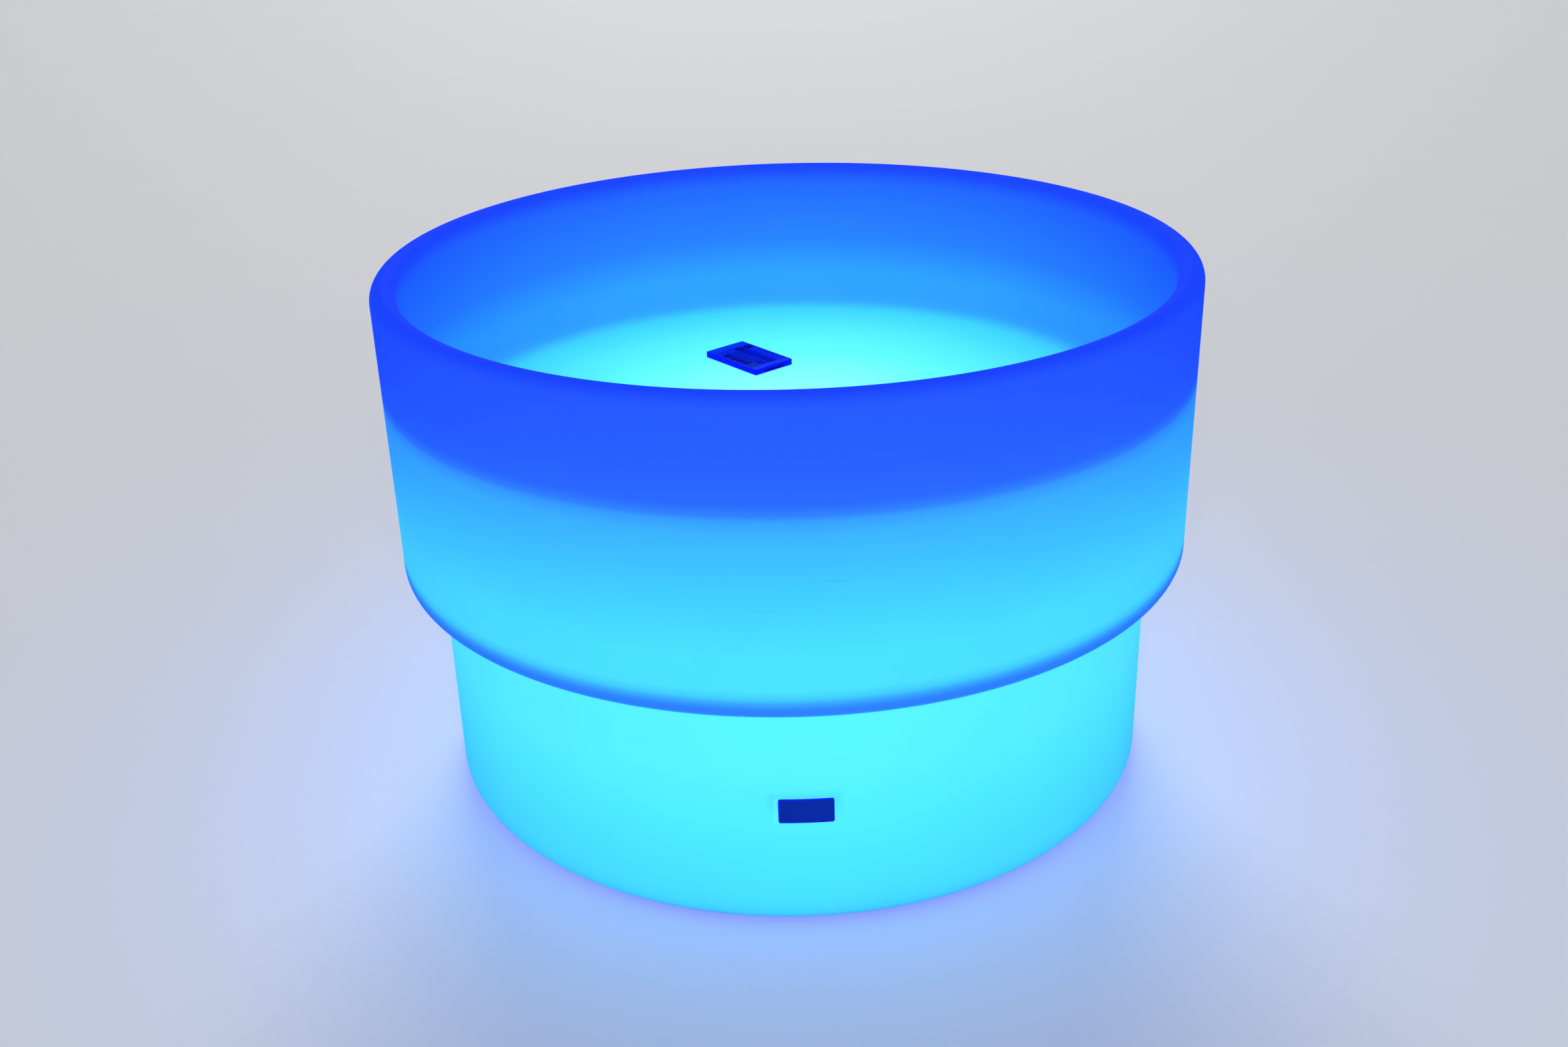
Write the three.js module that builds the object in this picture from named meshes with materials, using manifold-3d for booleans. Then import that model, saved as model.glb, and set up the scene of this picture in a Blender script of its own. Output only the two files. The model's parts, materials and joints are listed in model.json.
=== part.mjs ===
// Round light-up table: a hollow moulded body with a bowl in its top, a light unit screwed
// into its base, and a card remote control that lies in the bowl.
// Millimetres, +Z up. The origin is on the floor under the table's centre, and -Y is the front.
import * as THREE from 'three';
import { mergeVertices } from 'three/addons/utils/BufferGeometryUtils.js';
import Module from 'manifold-3d';

const wasm = await Module();
wasm.setup();

// Fits
const FIT_GAP = 0.3;
const CUT_OVERRUN = 1;
const JOIN_OVERLAP = 0.4;
const MERGE_REACH = 0.0001;

// Table body
const TABLE_HEIGHT = 530;
const RIM_RADIUS = 400;
const RIM_WIDTH = 25;
const WALL_DRAFT_SHARE = 0.005;
const BOWL_DEPTH = 165;
const BOWL_FILLET = 36;
const DRUM_HEIGHT = 290;
const DRUM_CORNER = 10;
const LEDGE_WIDTH = 37.5;
const STEP_FILLET = 6;
const FOOT_CORNER = 20;
const SHELL_WALL = 5;

// Underside of the body
const BASE_RING_MARGIN = 7;
const BASE_RING_SLOPE = 8;
const BASE_RECESS = 6;
const POCKET_MARGIN = 16;
const POCKET_DEPTH = 22;
const OPENING_SIDE_GAP = 4;
const BOSS_THICKNESS = 14;

// Foot pads
const PAD_COUNT = 4;
const PAD_RADIUS = 16;
const PAD_MARGIN = 7.5;
const PAD_THICKNESS = 5;
const PAD_STAND = 2;
const PAD_CHAMFER = 0.8;
const PAD_SIDE_GAP = 0.5;

// Plate on the lower drum
const PLATE_WIDTH = 50;
const PLATE_HEIGHT = 24.5;
const PLATE_THICKNESS = 1;
const PLATE_CORNER = 2;
const PLATE_OFFSET_X = 5.1;
const PLATE_CENTRE_Z = 126.6;

// Light unit: flange, housing and screws
const FLANGE_SIDE_GAP = 3;
const FLANGE_THICKNESS = 5;
const GASKET_THICKNESS = 2;
const GASKET_INSET = 2;
const SCREW_COUNT = 6;
const SCREW_INSET = 14;
const SCREW_SHANK_RADIUS = 2;
const SCREW_LENGTH = 18;
const SCREW_HEAD_RADIUS = 4.5;
const SCREW_HEAD_HEIGHT = 2.8;
const SCREW_EDGE_SHARE = 0.33;
const SCREW_CROSS_WIDTH = 1.2;
const SCREW_CROSS_LENGTH = 5;
const SCREW_CROSS_DEPTH = 1.4;
const SCREW_HOLE_SPARE = 1.5;
const HOUSING_RADIUS = 80;
const HOUSING_HEIGHT = 52;
const HOUSING_WALL = 2.5;
const HOUSING_FLOOR = 3;
const SINK_SEAT_WIDTH = 3;
const SINK_SEAT_DEPTH = 9;
const POST_RADIUS = 3;
const POST_HEIGHT = 6;

// Light unit: opal cover
const DOME_RISE = 30;
const DOME_WALL = 2.2;
const DOME_FLANGE_OVERHANG = 1;
const DOME_FLANGE_THICKNESS = 2;
const SEAL_THICKNESS = 1;

// Light unit: lamp board and its cooling
const SINK_THICKNESS = 3;
const FIN_COUNT = 7;
const FIN_PITCH = 16;
const FIN_HEIGHT = 10;
const FIN_THICKNESS = 1.6;
const FIN_LENGTH = 90;
const BOARD_THICKNESS = 1.6;
const LED_SIZE = 5;
const LED_HEIGHT = 1.6;
const LED_INNER_COUNT = 6;
const LED_INNER_RADIUS = 26;
const LED_OUTER_COUNT = 12;
const LED_OUTER_RADIUS = 56;
const RECEIVER_WIDTH = 7;
const RECEIVER_DEPTH = 5;
const RECEIVER_HEIGHT = 6;
const RECEIVER_LENS_RADIUS = 2.2;

// Light unit: battery
const BATTERY_LENGTH = 70;
const BATTERY_WIDTH = 38;
const BATTERY_HEIGHT = 19;
const BATTERY_CENTRE_Y = 27;
const STRAP_WIDTH = 16;
const STRAP_THICKNESS = 1.2;
const STRAP_TAB = 9;
const TAB_SCREW_RADIUS = 1.2;
const TAB_SCREW_LENGTH = 3.4;
const TAB_SCREW_HEAD_RADIUS = 2.4;
const TAB_SCREW_HEAD_HEIGHT = 1.5;
const TAB_SCREW_SPARE = 0.4;

// Light unit: control board
const CONTROL_LENGTH = 72;
const CONTROL_WIDTH = 38;
const CONTROL_CENTRE_Y = -30;
const CONTROL_POST_INSET = 5;
const SWITCH_SIZE = 6;
const SWITCH_BODY_HEIGHT = 1.2;
const SWITCH_PLUNGER_RADIUS = 1.5;
const SWITCH_PLUNGER_LENGTH = 0.6;
const DRIVER_LENGTH = 16;
const DRIVER_WIDTH = 12;
const DRIVER_HEIGHT = 3;
const CAPACITOR_RADIUS = 4;
const CAPACITOR_HEIGHT = 11;
const CONNECTOR_LENGTH = 6;
const CONNECTOR_WIDTH = 8;
const CONNECTOR_HEIGHT = 6;
const CONNECTOR_INSET = 8;

// Light unit: push button, charging socket and its plug
const BUTTON_X = -18;
const BUTTON_RADIUS = 6.2;
const BUTTON_STAND = 1.5;
const BUTTON_TRAVEL = 1.5;
const BUTTON_COLLAR_RADIUS = 8;
const BUTTON_COLLAR_THICKNESS = 1;
const BUTTON_STEM_RADIUS = 2.5;
const BUTTON_EDGE = 0.6;
const SOCKET_X = 18;
const SOCKET_RADIUS = 5.5;
const SOCKET_COLLAR_RADIUS = 7.5;
const SOCKET_COLLAR_THICKNESS = 1.5;
const SOCKET_BORE_RADIUS = 3.2;
const SOCKET_BORE_DEPTH = 8.5;
const SOCKET_PIN_RADIUS = 1;
const CAP_RADIUS = 8;
const CAP_THICKNESS = 1.6;
const CAP_STUB_LENGTH = 6;
const CAP_TAB_WIDTH = 5;
const CAP_TAB_LENGTH = 4;

// Light unit: leads
const LEAD_RADIUS = 1.4;
const LEAD_HOLE_RADIUS = 3;
const LEAD_HOLE_X = -42;
const LEAD_HOLE_Y = -12;
const LEAD_SLACK = 9;
const LEAD_STUB = 4;

// Remote: case
const REMOTE_LENGTH = 86;
const REMOTE_WIDTH = 52;
const REMOTE_HEIGHT = 6.5;
const REMOTE_CORNER = 3;
const REMOTE_WALL = 1.2;
const REMOTE_FLOOR = 0.8;
const REMOTE_LID = 0.8;
const REMOTE_SPLIT_Z = 4;
const REMOTE_X = -43.5;
const REMOTE_Y = 159;
const REMOTE_TURN = -0.868;
const RAIL_WIDTH = 1.5;

// Remote: board, signal lamp and coin cell
const REMOTE_BOARD_THICKNESS = 0.5;
const REMOTE_BOARD_SETBACK = 8;
const LAMP_RADIUS = 1.2;
const LAMP_LENGTH = 5;
const LAMP_STAND = 0.6;
const CELL_RADIUS = 10;
const CELL_THICKNESS = 2.2;
const TRAY_LENGTH = 27;
const TRAY_WIDTH = 25;
const TRAY_HEIGHT = 2.4;
const TRAY_Z = 1.1;
const TRAY_GRIP_WIDTH = 12;
const TRAY_GRIP_DEPTH = 0.8;

// Remote: keys
const KEY_LENGTH = 7.4;
const KEY_WIDTH = 8;
const KEY_CORNER = 1.4;
const KEY_STAND = 0.6;
const KEY_TRAVEL = 0.3;
const KEY_COLLAR_OVERHANG = 0.6;
const KEY_COLLAR_THICKNESS = 0.4;
const KEY_ROW_PITCH = 10.4;
const KEY_COLUMN_PITCH = 12.2;
const KEY_FIELD_X = 2.4;

// Fineness: sides round an axis, and how far a chord may leave its arc
const BODY_SIDES = 52;
const UNIT_SIDES = 40;
const SMALL_SIDES = 14;
const PAD_SIDES = 24;
const CELL_SIDES = 20;
const LEAD_SIDES = 8;
const LEAD_STEPS = 16;
const SURFACE_SAG = 0.46;
const CAVITY_SAG = 1.6;
const PLATE_SAG = 0.04;

// Heights that follow
const LIP_RADIUS = RIM_WIDTH / 2;
const LIP_Z = TABLE_HEIGHT - LIP_RADIUS;
const BOWL_FLOOR_Z = TABLE_HEIGHT - BOWL_DEPTH;
const DRUM_UNDERSIDE_Z = TABLE_HEIGHT - DRUM_HEIGHT;
const PANEL_Z = PAD_STAND + BASE_RECESS;
const LEDGE_Z = PANEL_Z + POCKET_DEPTH;
const GASKET_Z = LEDGE_Z - FIT_GAP - GASKET_THICKNESS;
const UNIT_Z = GASKET_Z - FIT_GAP - FLANGE_THICKNESS;
const UNIT_FLOOR_Z = UNIT_Z + HOUSING_FLOOR;
const UNIT_TOP_Z = UNIT_Z + HOUSING_HEIGHT;
const SINK_SEAT_Z = UNIT_TOP_Z - SINK_SEAT_DEPTH;
const SINK_Z = SINK_SEAT_Z + FIT_GAP;
const LED_BOARD_Z = SINK_Z + SINK_THICKNESS + FIT_GAP;
const LED_BOARD_TOP_Z = LED_BOARD_Z + BOARD_THICKNESS;
const CONTROL_Z = UNIT_FLOOR_Z + POST_HEIGHT + FIT_GAP;
const CONTROL_TOP_Z = CONTROL_Z + BOARD_THICKNESS;
const SWITCH_Z = CONTROL_Z - SWITCH_BODY_HEIGHT;
const PLUNGER_Z = SWITCH_Z - SWITCH_PLUNGER_LENGTH;
const BUTTON_TOP_Z = PLUNGER_Z - FIT_GAP - BUTTON_TRAVEL;
const SOCKET_MOUTH_Z = UNIT_Z - FIT_GAP - SOCKET_COLLAR_THICKNESS;
const TAB_Z = UNIT_FLOOR_Z + FIT_GAP;
const TAB_TOP_Z = TAB_Z + STRAP_THICKNESS;
const TAB_SEAT_Z = TAB_TOP_Z + FIT_GAP;

// Radii that follow. The walls lean by the draft, wider towards the top.
const PLINTH_RADIUS = RIM_RADIUS - LEDGE_WIDTH;
const PAD_CIRCLE_RADIUS = PLINTH_RADIUS - FOOT_CORNER - PAD_MARGIN - PAD_RADIUS;
const BASE_RING_INNER_RADIUS = PAD_CIRCLE_RADIUS - PAD_RADIUS - BASE_RING_MARGIN;
const OPENING_RADIUS = HOUSING_RADIUS + OPENING_SIDE_GAP;
const SCREW_CIRCLE_RADIUS = OPENING_RADIUS + SCREW_INSET;
const POCKET_RADIUS = SCREW_CIRCLE_RADIUS + POCKET_MARGIN;
const wallRadius = (z) => RIM_RADIUS - WALL_DRAFT_SHARE * (LIP_Z - z);
const bowlRadius = (z) => RIM_RADIUS - RIM_WIDTH - WALL_DRAFT_SHARE * (LIP_Z - z);
const plinthRadius = (z) => PLINTH_RADIUS - WALL_DRAFT_SHARE * (DRUM_UNDERSIDE_Z - z);
const FLANGE_RADIUS = POCKET_RADIUS - FLANGE_SIDE_GAP;
const UNIT_BORE_RADIUS = HOUSING_RADIUS - HOUSING_WALL;
const UNIT_LOWER_BORE_RADIUS = UNIT_BORE_RADIUS - SINK_SEAT_WIDTH;
const UNIT_DISC_RADIUS = UNIT_BORE_RADIUS - FIT_GAP;

// Shape helpers
const at = (x, y) => new THREE.Vector2(x, y);

function arc(centre, radius, fromDegrees, toDegrees, sag = SURFACE_SAG) {
  const [from, to] = [fromDegrees, toDegrees].map(THREE.MathUtils.degToRad);
  const steps = Math.ceil(Math.abs(to - from) / (2 * Math.acos(1 - sag / radius)));
  return Array.from({ length: steps + 1 }, (_, i) => {
    const angle = from + ((to - from) * i) / steps;
    return at(centre.x + radius * Math.cos(angle), centre.y + radius * Math.sin(angle));
  });
}

// A closed shell with merged corners, no empty faces, and its faces pointing out.
function closed(geometry) {
  const bare = geometry.index ? geometry.toNonIndexed() : geometry.clone();
  bare.deleteAttribute('normal');
  bare.deleteAttribute('uv');
  const merged = mergeVertices(bare, MERGE_REACH);
  const corner = merged.attributes.position;
  const faces = [];
  let volume = 0;
  for (let i = 0; i < merged.index.count; i += 3) {
    const [a, b, c] = [0, 1, 2].map((k) => merged.index.getX(i + k));
    if (a !== b && b !== c && c !== a) {
      faces.push([a, b, c]);
      const [p, q, r] = [a, b, c].map((k) => new THREE.Vector3().fromBufferAttribute(corner, k));
      volume += p.dot(q.cross(r));
    }
  }
  const turned = volume < 0 ? faces.map(([a, b, c]) => [a, c, b]) : faces;
  merged.setIndex(turned.flat());
  return merged;
}

// Revolved about the Z axis from a profile of radius and height.
function lathe(profile, sides, isRing = false) {
  const points = isRing ? [...profile, profile[0]] : profile;
  return closed(new THREE.LatheGeometry(points, sides).rotateX(Math.PI / 2));
}

function prism(shape, fromZ, toZ) {
  const options = { depth: toZ - fromZ, bevelEnabled: false };
  return closed(new THREE.ExtrudeGeometry(shape, options).translate(0, 0, fromZ));
}

function outlineBox(length, width, corner, x = 0, y = 0, Kind = THREE.Shape) {
  const [reachX, reachY] = [length / 2 - corner, width / 2 - corner];
  const quarters = [[1, -1], [1, 1], [-1, 1], [-1, -1]];
  return new Kind(quarters.flatMap(([sideX, sideY], i) =>
    arc(at(x + sideX * reachX, y + sideY * reachY), corner, 90 * (i - 1), 90 * i)));
}

function block(length, width, fromZ, toZ, x = 0, y = 0) {
  const box = new THREE.BoxGeometry(length, width, toZ - fromZ);
  return closed(box.translate(x, y, (fromZ + toZ) / 2));
}

function rod(radius, fromZ, toZ, x = 0, y = 0, sides = SMALL_SIDES) {
  const cylinder = new THREE.CylinderGeometry(radius, radius, toZ - fromZ, sides);
  return closed(cylinder.rotateX(Math.PI / 2).translate(x, y, (fromZ + toZ) / 2));
}

function lead(points) {
  const extrudePath = new THREE.CatmullRomCurve3(points.map((point) => new THREE.Vector3(...point)));
  const section = new THREE.Shape(ring(LEAD_SIDES, LEAD_RADIUS).map(({ x, y }) => at(x, y)));
  return closed(new THREE.ExtrudeGeometry(section, { steps: LEAD_STEPS, extrudePath }));
}

// Boolean cuts and joins
function solidOf(geometry) {
  const mesh = new wasm.Mesh({
    numProp: 3,
    vertProperties: new Float32Array(geometry.attributes.position.array),
    triVerts: new Uint32Array(geometry.index.array),
  });
  return new wasm.Manifold(mesh);
}

function geometryOf(solid) {
  const mesh = solid.getMesh();
  const geometry = new THREE.BufferGeometry();
  geometry.setAttribute('position', new THREE.BufferAttribute(mesh.vertProperties, 3));
  geometry.setIndex(new THREE.BufferAttribute(mesh.triVerts, 1));
  return geometry;
}

const join = (first, ...others) =>
  geometryOf(others.reduce((sum, other) => sum.add(solidOf(other)), solidOf(first)));
const cut = (first, ...others) =>
  geometryOf(others.reduce((rest, other) => rest.subtract(solidOf(other)), solidOf(first)));
const common = (first, second) => geometryOf(solidOf(first).intersect(solidOf(second)));

function ring(count, radius, startShare = 0) {
  return Array.from({ length: count }, (_, i) => {
    const turn = ((i + startShare) / count) * Math.PI * 2;
    return { turn, x: radius * Math.cos(turn), y: radius * Math.sin(turn) };
  });
}

function piece(name, geometry, color, roughness, metalness = 0) {
  const material = new THREE.MeshStandardMaterial({ color, roughness, metalness });
  const mesh = new THREE.Mesh(geometry, material);
  mesh.name = name;
  return mesh;
}

// Table body: one profile gives the outside, and the same centres give the cavity.
const padSpots = ring(PAD_COUNT, PAD_CIRCLE_RADIUS, 0.5);
const screwSpots = ring(SCREW_COUNT, SCREW_CIRCLE_RADIUS);

function bodyProfile() {
  const fillet = at(bowlRadius(BOWL_FLOOR_Z + BOWL_FILLET) - BOWL_FILLET, BOWL_FLOOR_Z + BOWL_FILLET);
  const lip = at(RIM_RADIUS - LIP_RADIUS, LIP_Z);
  const cornerZ = DRUM_UNDERSIDE_Z + DRUM_CORNER;
  const corner = at(wallRadius(cornerZ) - DRUM_CORNER, cornerZ);
  const stepZ = DRUM_UNDERSIDE_Z - STEP_FILLET;
  const step = at(plinthRadius(stepZ) + STEP_FILLET, stepZ);
  const footZ = PAD_STAND + FOOT_CORNER;
  const foot = at(plinthRadius(footZ) - FOOT_CORNER, footZ);
  const slopeRadius = BASE_RING_INNER_RADIUS - BASE_RING_SLOPE;
  return [
    at(0, BOWL_FLOOR_Z),
    ...arc(fillet, BOWL_FILLET, -90, 0),
    ...arc(lip, LIP_RADIUS, 180, 0),
    ...arc(corner, DRUM_CORNER, 0, -90),
    ...arc(step, STEP_FILLET, 90, 180),
    ...arc(foot, FOOT_CORNER, 0, -90),
    at(BASE_RING_INNER_RADIUS, PAD_STAND),
    at(slopeRadius, PANEL_Z),
    at(POCKET_RADIUS, PANEL_Z),
    at(POCKET_RADIUS, LEDGE_Z),
    at(OPENING_RADIUS, LEDGE_Z),
    at(OPENING_RADIUS, LEDGE_Z + BOSS_THICKNESS),
    at(POCKET_RADIUS + SHELL_WALL, LEDGE_Z + BOSS_THICKNESS),
    at(POCKET_RADIUS + SHELL_WALL, PANEL_Z + SHELL_WALL),
    at(slopeRadius, PANEL_Z + SHELL_WALL),
    at(BASE_RING_INNER_RADIUS, PAD_STAND + SHELL_WALL),
    ...arc(foot, FOOT_CORNER - SHELL_WALL, -90, 0, CAVITY_SAG),
    ...arc(step, STEP_FILLET + SHELL_WALL, 180, 90, CAVITY_SAG),
    ...arc(corner, DRUM_CORNER - SHELL_WALL, -90, 0, CAVITY_SAG),
    ...arc(lip, LIP_RADIUS - SHELL_WALL, 0, 180, CAVITY_SAG),
    ...arc(fillet, BOWL_FILLET + SHELL_WALL, 0, -90, CAVITY_SAG),
    at(0, BOWL_FLOOR_Z - SHELL_WALL),
  ];
}

function tubShell() {
  const body = lathe(bodyProfile(), BODY_SIDES);
  const padTop = PAD_THICKNESS + FIT_GAP;
  const pockets = padSpots.map(({ x, y }) =>
    rod(PAD_RADIUS + PAD_SIDE_GAP, PAD_STAND - CUT_OVERRUN, padTop, x, y, PAD_SIDES));
  const screwTip = UNIT_Z - FIT_GAP + SCREW_LENGTH;
  const holes = screwSpots.map(({ x, y }) =>
    rod(SCREW_SHANK_RADIUS + FIT_GAP, LEDGE_Z - CUT_OVERRUN, screwTip + SCREW_HOLE_SPARE, x, y));
  return cut(body, ...pockets, ...holes);
}

function footPad() {
  const inner = PAD_RADIUS - PAD_CHAMFER;
  return lathe([
    at(0, 0), at(inner, 0), at(PAD_RADIUS, PAD_CHAMFER),
    at(PAD_RADIUS, PAD_THICKNESS), at(0, PAD_THICKNESS),
  ], PAD_SIDES);
}

// The plate is a piece of a ring round the lower drum, seen through a rounded window.
function labelPlate() {
  const inner = plinthRadius(PLATE_CENTRE_Z + PLATE_HEIGHT / 2) + FIT_GAP;
  const halfTurn = Math.asin((PLATE_WIDTH / 2 + CUT_OVERRUN) / inner);
  const middle = Math.asin(PLATE_OFFSET_X / inner) - Math.PI / 2;
  const [from, to] = [middle - halfTurn, middle + halfTurn].map(THREE.MathUtils.radToDeg);
  const band = new THREE.Shape([
    ...arc(at(0, 0), inner + PLATE_THICKNESS, from, to, PLATE_SAG),
    ...arc(at(0, 0), inner, to, from, PLATE_SAG),
  ]);
  const half = PLATE_HEIGHT / 2 + CUT_OVERRUN;
  const curved = prism(band, PLATE_CENTRE_Z - half, PLATE_CENTRE_Z + half);
  const window = prism(outlineBox(PLATE_WIDTH, PLATE_HEIGHT, PLATE_CORNER), 0, RIM_RADIUS);
  return common(curved, window.rotateX(Math.PI / 2).translate(PLATE_OFFSET_X, 0, PLATE_CENTRE_Z));
}

// Light unit
const controlSpots = [-1, 1].flatMap((sx) => [-1, 1].map((sy) => ({
  x: sx * (CONTROL_LENGTH / 2 - CONTROL_POST_INSET),
  y: CONTROL_CENTRE_Y + sy * (CONTROL_WIDTH / 2 - CONTROL_POST_INSET),
})));
const strapInner = BATTERY_WIDTH / 2 + FIT_GAP;
const tabSpots = [-1, 1].map((side) => ({
  x: 0,
  y: BATTERY_CENTRE_Y + side * (strapInner + STRAP_TAB / 2),
}));
const connectorSpots = [-1, 1].map((side) => ({
  x: side * (CONTROL_LENGTH / 2 - CONNECTOR_INSET),
  y: CONTROL_CENTRE_Y + CONTROL_WIDTH / 2 - CONNECTOR_WIDTH,
}));

function lightHousing() {
  const cup = lathe([
    at(0, UNIT_Z), at(FLANGE_RADIUS, UNIT_Z),
    at(FLANGE_RADIUS, UNIT_Z + FLANGE_THICKNESS), at(HOUSING_RADIUS, UNIT_Z + FLANGE_THICKNESS),
    at(HOUSING_RADIUS, UNIT_TOP_Z), at(UNIT_BORE_RADIUS, UNIT_TOP_Z),
    at(UNIT_BORE_RADIUS, SINK_SEAT_Z), at(UNIT_LOWER_BORE_RADIUS, SINK_SEAT_Z),
    at(UNIT_LOWER_BORE_RADIUS, UNIT_FLOOR_Z), at(0, UNIT_FLOOR_Z),
  ], UNIT_SIDES);
  const posts = controlSpots.map(({ x, y }) =>
    rod(POST_RADIUS, UNIT_FLOOR_Z - JOIN_OVERLAP, UNIT_FLOOR_Z + POST_HEIGHT, x, y));
  const below = UNIT_Z - CUT_OVERRUN;
  const screwHoles = screwSpots.map(({ x, y }) =>
    rod(SCREW_SHANK_RADIUS + FIT_GAP, below, UNIT_Z + FLANGE_THICKNESS + CUT_OVERRUN, x, y));
  const above = UNIT_FLOOR_Z + CUT_OVERRUN;
  const tabHoleZ = TAB_SEAT_Z - TAB_SCREW_LENGTH - TAB_SCREW_SPARE;
  const tabHoles = tabSpots.map(({ x, y }) =>
    rod(TAB_SCREW_RADIUS + FIT_GAP, tabHoleZ, above, x, y));
  const buttonHole = rod(BUTTON_RADIUS + FIT_GAP, below, above, BUTTON_X, CONTROL_CENTRE_Y);
  const socketHole = rod(SOCKET_RADIUS + FIT_GAP, below, above, SOCKET_X, CONTROL_CENTRE_Y);
  return cut(join(cup, ...posts), ...screwHoles, ...tabHoles, buttonHole, socketHole);
}

function flangeGasket() {
  const [inner, outer] = [OPENING_RADIUS + GASKET_INSET, FLANGE_RADIUS - GASKET_INSET];
  const top = GASKET_Z + GASKET_THICKNESS;
  const section = [at(inner, GASKET_Z), at(outer, GASKET_Z), at(outer, top), at(inner, top)];
  const sheet = lathe(section, UNIT_SIDES, true);
  const holes = screwSpots.map(({ x, y }) =>
    rod(SCREW_SHANK_RADIUS + FIT_GAP, GASKET_Z - CUT_OVERRUN, LEDGE_Z + CUT_OVERRUN, x, y));
  return cut(sheet, ...holes);
}

// A screw with its head down and its tip up, head seat at height zero.
function screw(shank, length, headRadius, headHeight) {
  const edge = headHeight * SCREW_EDGE_SHARE;
  return lathe([
    at(0, -headHeight), at(headRadius - edge, -headHeight), at(headRadius, edge - headHeight),
    at(headRadius, 0), at(shank, 0), at(shank, length - shank), at(0, length),
  ], SMALL_SIDES);
}

function flangeScrew() {
  const plain = screw(SCREW_SHANK_RADIUS, SCREW_LENGTH, SCREW_HEAD_RADIUS, SCREW_HEAD_HEIGHT);
  const slotBottom = -SCREW_HEAD_HEIGHT - CUT_OVERRUN;
  const slotTop = SCREW_CROSS_DEPTH - SCREW_HEAD_HEIGHT;
  return cut(plain,
    block(SCREW_CROSS_LENGTH, SCREW_CROSS_WIDTH, slotBottom, slotTop),
    block(SCREW_CROSS_WIDTH, SCREW_CROSS_LENGTH, slotBottom, slotTop));
}

function domeSeal() {
  const z = UNIT_TOP_Z + FIT_GAP;
  return lathe([
    at(UNIT_BORE_RADIUS, z), at(HOUSING_RADIUS, z),
    at(HOUSING_RADIUS, z + SEAL_THICKNESS), at(UNIT_BORE_RADIUS, z + SEAL_THICKNESS),
  ], UNIT_SIDES, true);
}

// The cover: a skirt inside the housing, a flange over its seal and a shallow cap.
function lightDome() {
  const flangeZ = UNIT_TOP_Z + SEAL_THICKNESS + 2 * FIT_GAP;
  const capZ = flangeZ + DOME_FLANGE_THICKNESS;
  const skirt = UNIT_DISC_RADIUS;
  const chord = skirt - DOME_WALL;
  const capRadius = (chord * chord + DOME_RISE * DOME_RISE) / (2 * DOME_RISE);
  const centre = at(0, capZ + DOME_RISE - capRadius);
  const edge = THREE.MathUtils.radToDeg(Math.acos(chord / capRadius));
  const innerRadius = capRadius - DOME_WALL;
  const innerEdge = THREE.MathUtils.radToDeg(Math.asin((capZ - centre.y) / innerRadius));
  return lathe([
    ...arc(centre, capRadius, 90, edge),
    at(HOUSING_RADIUS + DOME_FLANGE_OVERHANG, capZ),
    at(HOUSING_RADIUS + DOME_FLANGE_OVERHANG, flangeZ),
    at(skirt, flangeZ),
    at(skirt, LED_BOARD_TOP_Z + FIT_GAP),
    at(skirt - DOME_WALL, LED_BOARD_TOP_Z + FIT_GAP),
    at(skirt - DOME_WALL, flangeZ),
    ...arc(centre, innerRadius, innerEdge, 90),
  ], UNIT_SIDES);
}

function heatSink() {
  const plate = rod(UNIT_DISC_RADIUS, SINK_Z, SINK_Z + SINK_THICKNESS, 0, 0, UNIT_SIDES);
  const fins = Array.from({ length: FIN_COUNT }, (_, i) => {
    const y = (i - (FIN_COUNT - 1) / 2) * FIN_PITCH;
    return block(FIN_LENGTH, FIN_THICKNESS, SINK_Z - FIN_HEIGHT, SINK_Z + JOIN_OVERLAP, 0, y);
  });
  const below = SINK_Z - FIN_HEIGHT - CUT_OVERRUN;
  const hole = rod(LEAD_HOLE_RADIUS, below, LED_BOARD_Z, LEAD_HOLE_X, LEAD_HOLE_Y);
  return cut(join(plate, ...fins), hole);
}

function ledBoard() {
  const board = rod(UNIT_DISC_RADIUS, LED_BOARD_Z, LED_BOARD_TOP_Z, 0, 0, UNIT_SIDES);
  const spots = [
    ...ring(LED_INNER_COUNT, LED_INNER_RADIUS),
    ...ring(LED_OUTER_COUNT, LED_OUTER_RADIUS, 0.5),
  ];
  const lamps = spots.map(({ turn, x, y }) => {
    const lamp = block(LED_SIZE, LED_SIZE, LED_BOARD_TOP_Z - JOIN_OVERLAP, LED_BOARD_TOP_Z + LED_HEIGHT);
    return lamp.rotateZ(turn).translate(x, y, 0);
  });
  return join(board, ...lamps);
}

function irReceiver() {
  const z = LED_BOARD_TOP_Z + FIT_GAP;
  const body = block(RECEIVER_WIDTH, RECEIVER_DEPTH, z, z + RECEIVER_HEIGHT);
  const lens = closed(new THREE.SphereGeometry(RECEIVER_LENS_RADIUS, SMALL_SIDES, SMALL_SIDES / 2));
  return join(body, lens.translate(0, 0, z + RECEIVER_HEIGHT));
}

// Two round cells side by side in one wrap.
function batteryPack() {
  const radius = BATTERY_HEIGHT / 2;
  const wrap = outlineBox(BATTERY_WIDTH, BATTERY_HEIGHT, radius);
  const along = prism(wrap, -BATTERY_LENGTH / 2, BATTERY_LENGTH / 2);
  along.rotateX(Math.PI / 2).rotateZ(Math.PI / 2);
  return along.translate(0, BATTERY_CENTRE_Y, UNIT_FLOOR_Z + FIT_GAP + radius);
}

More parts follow.
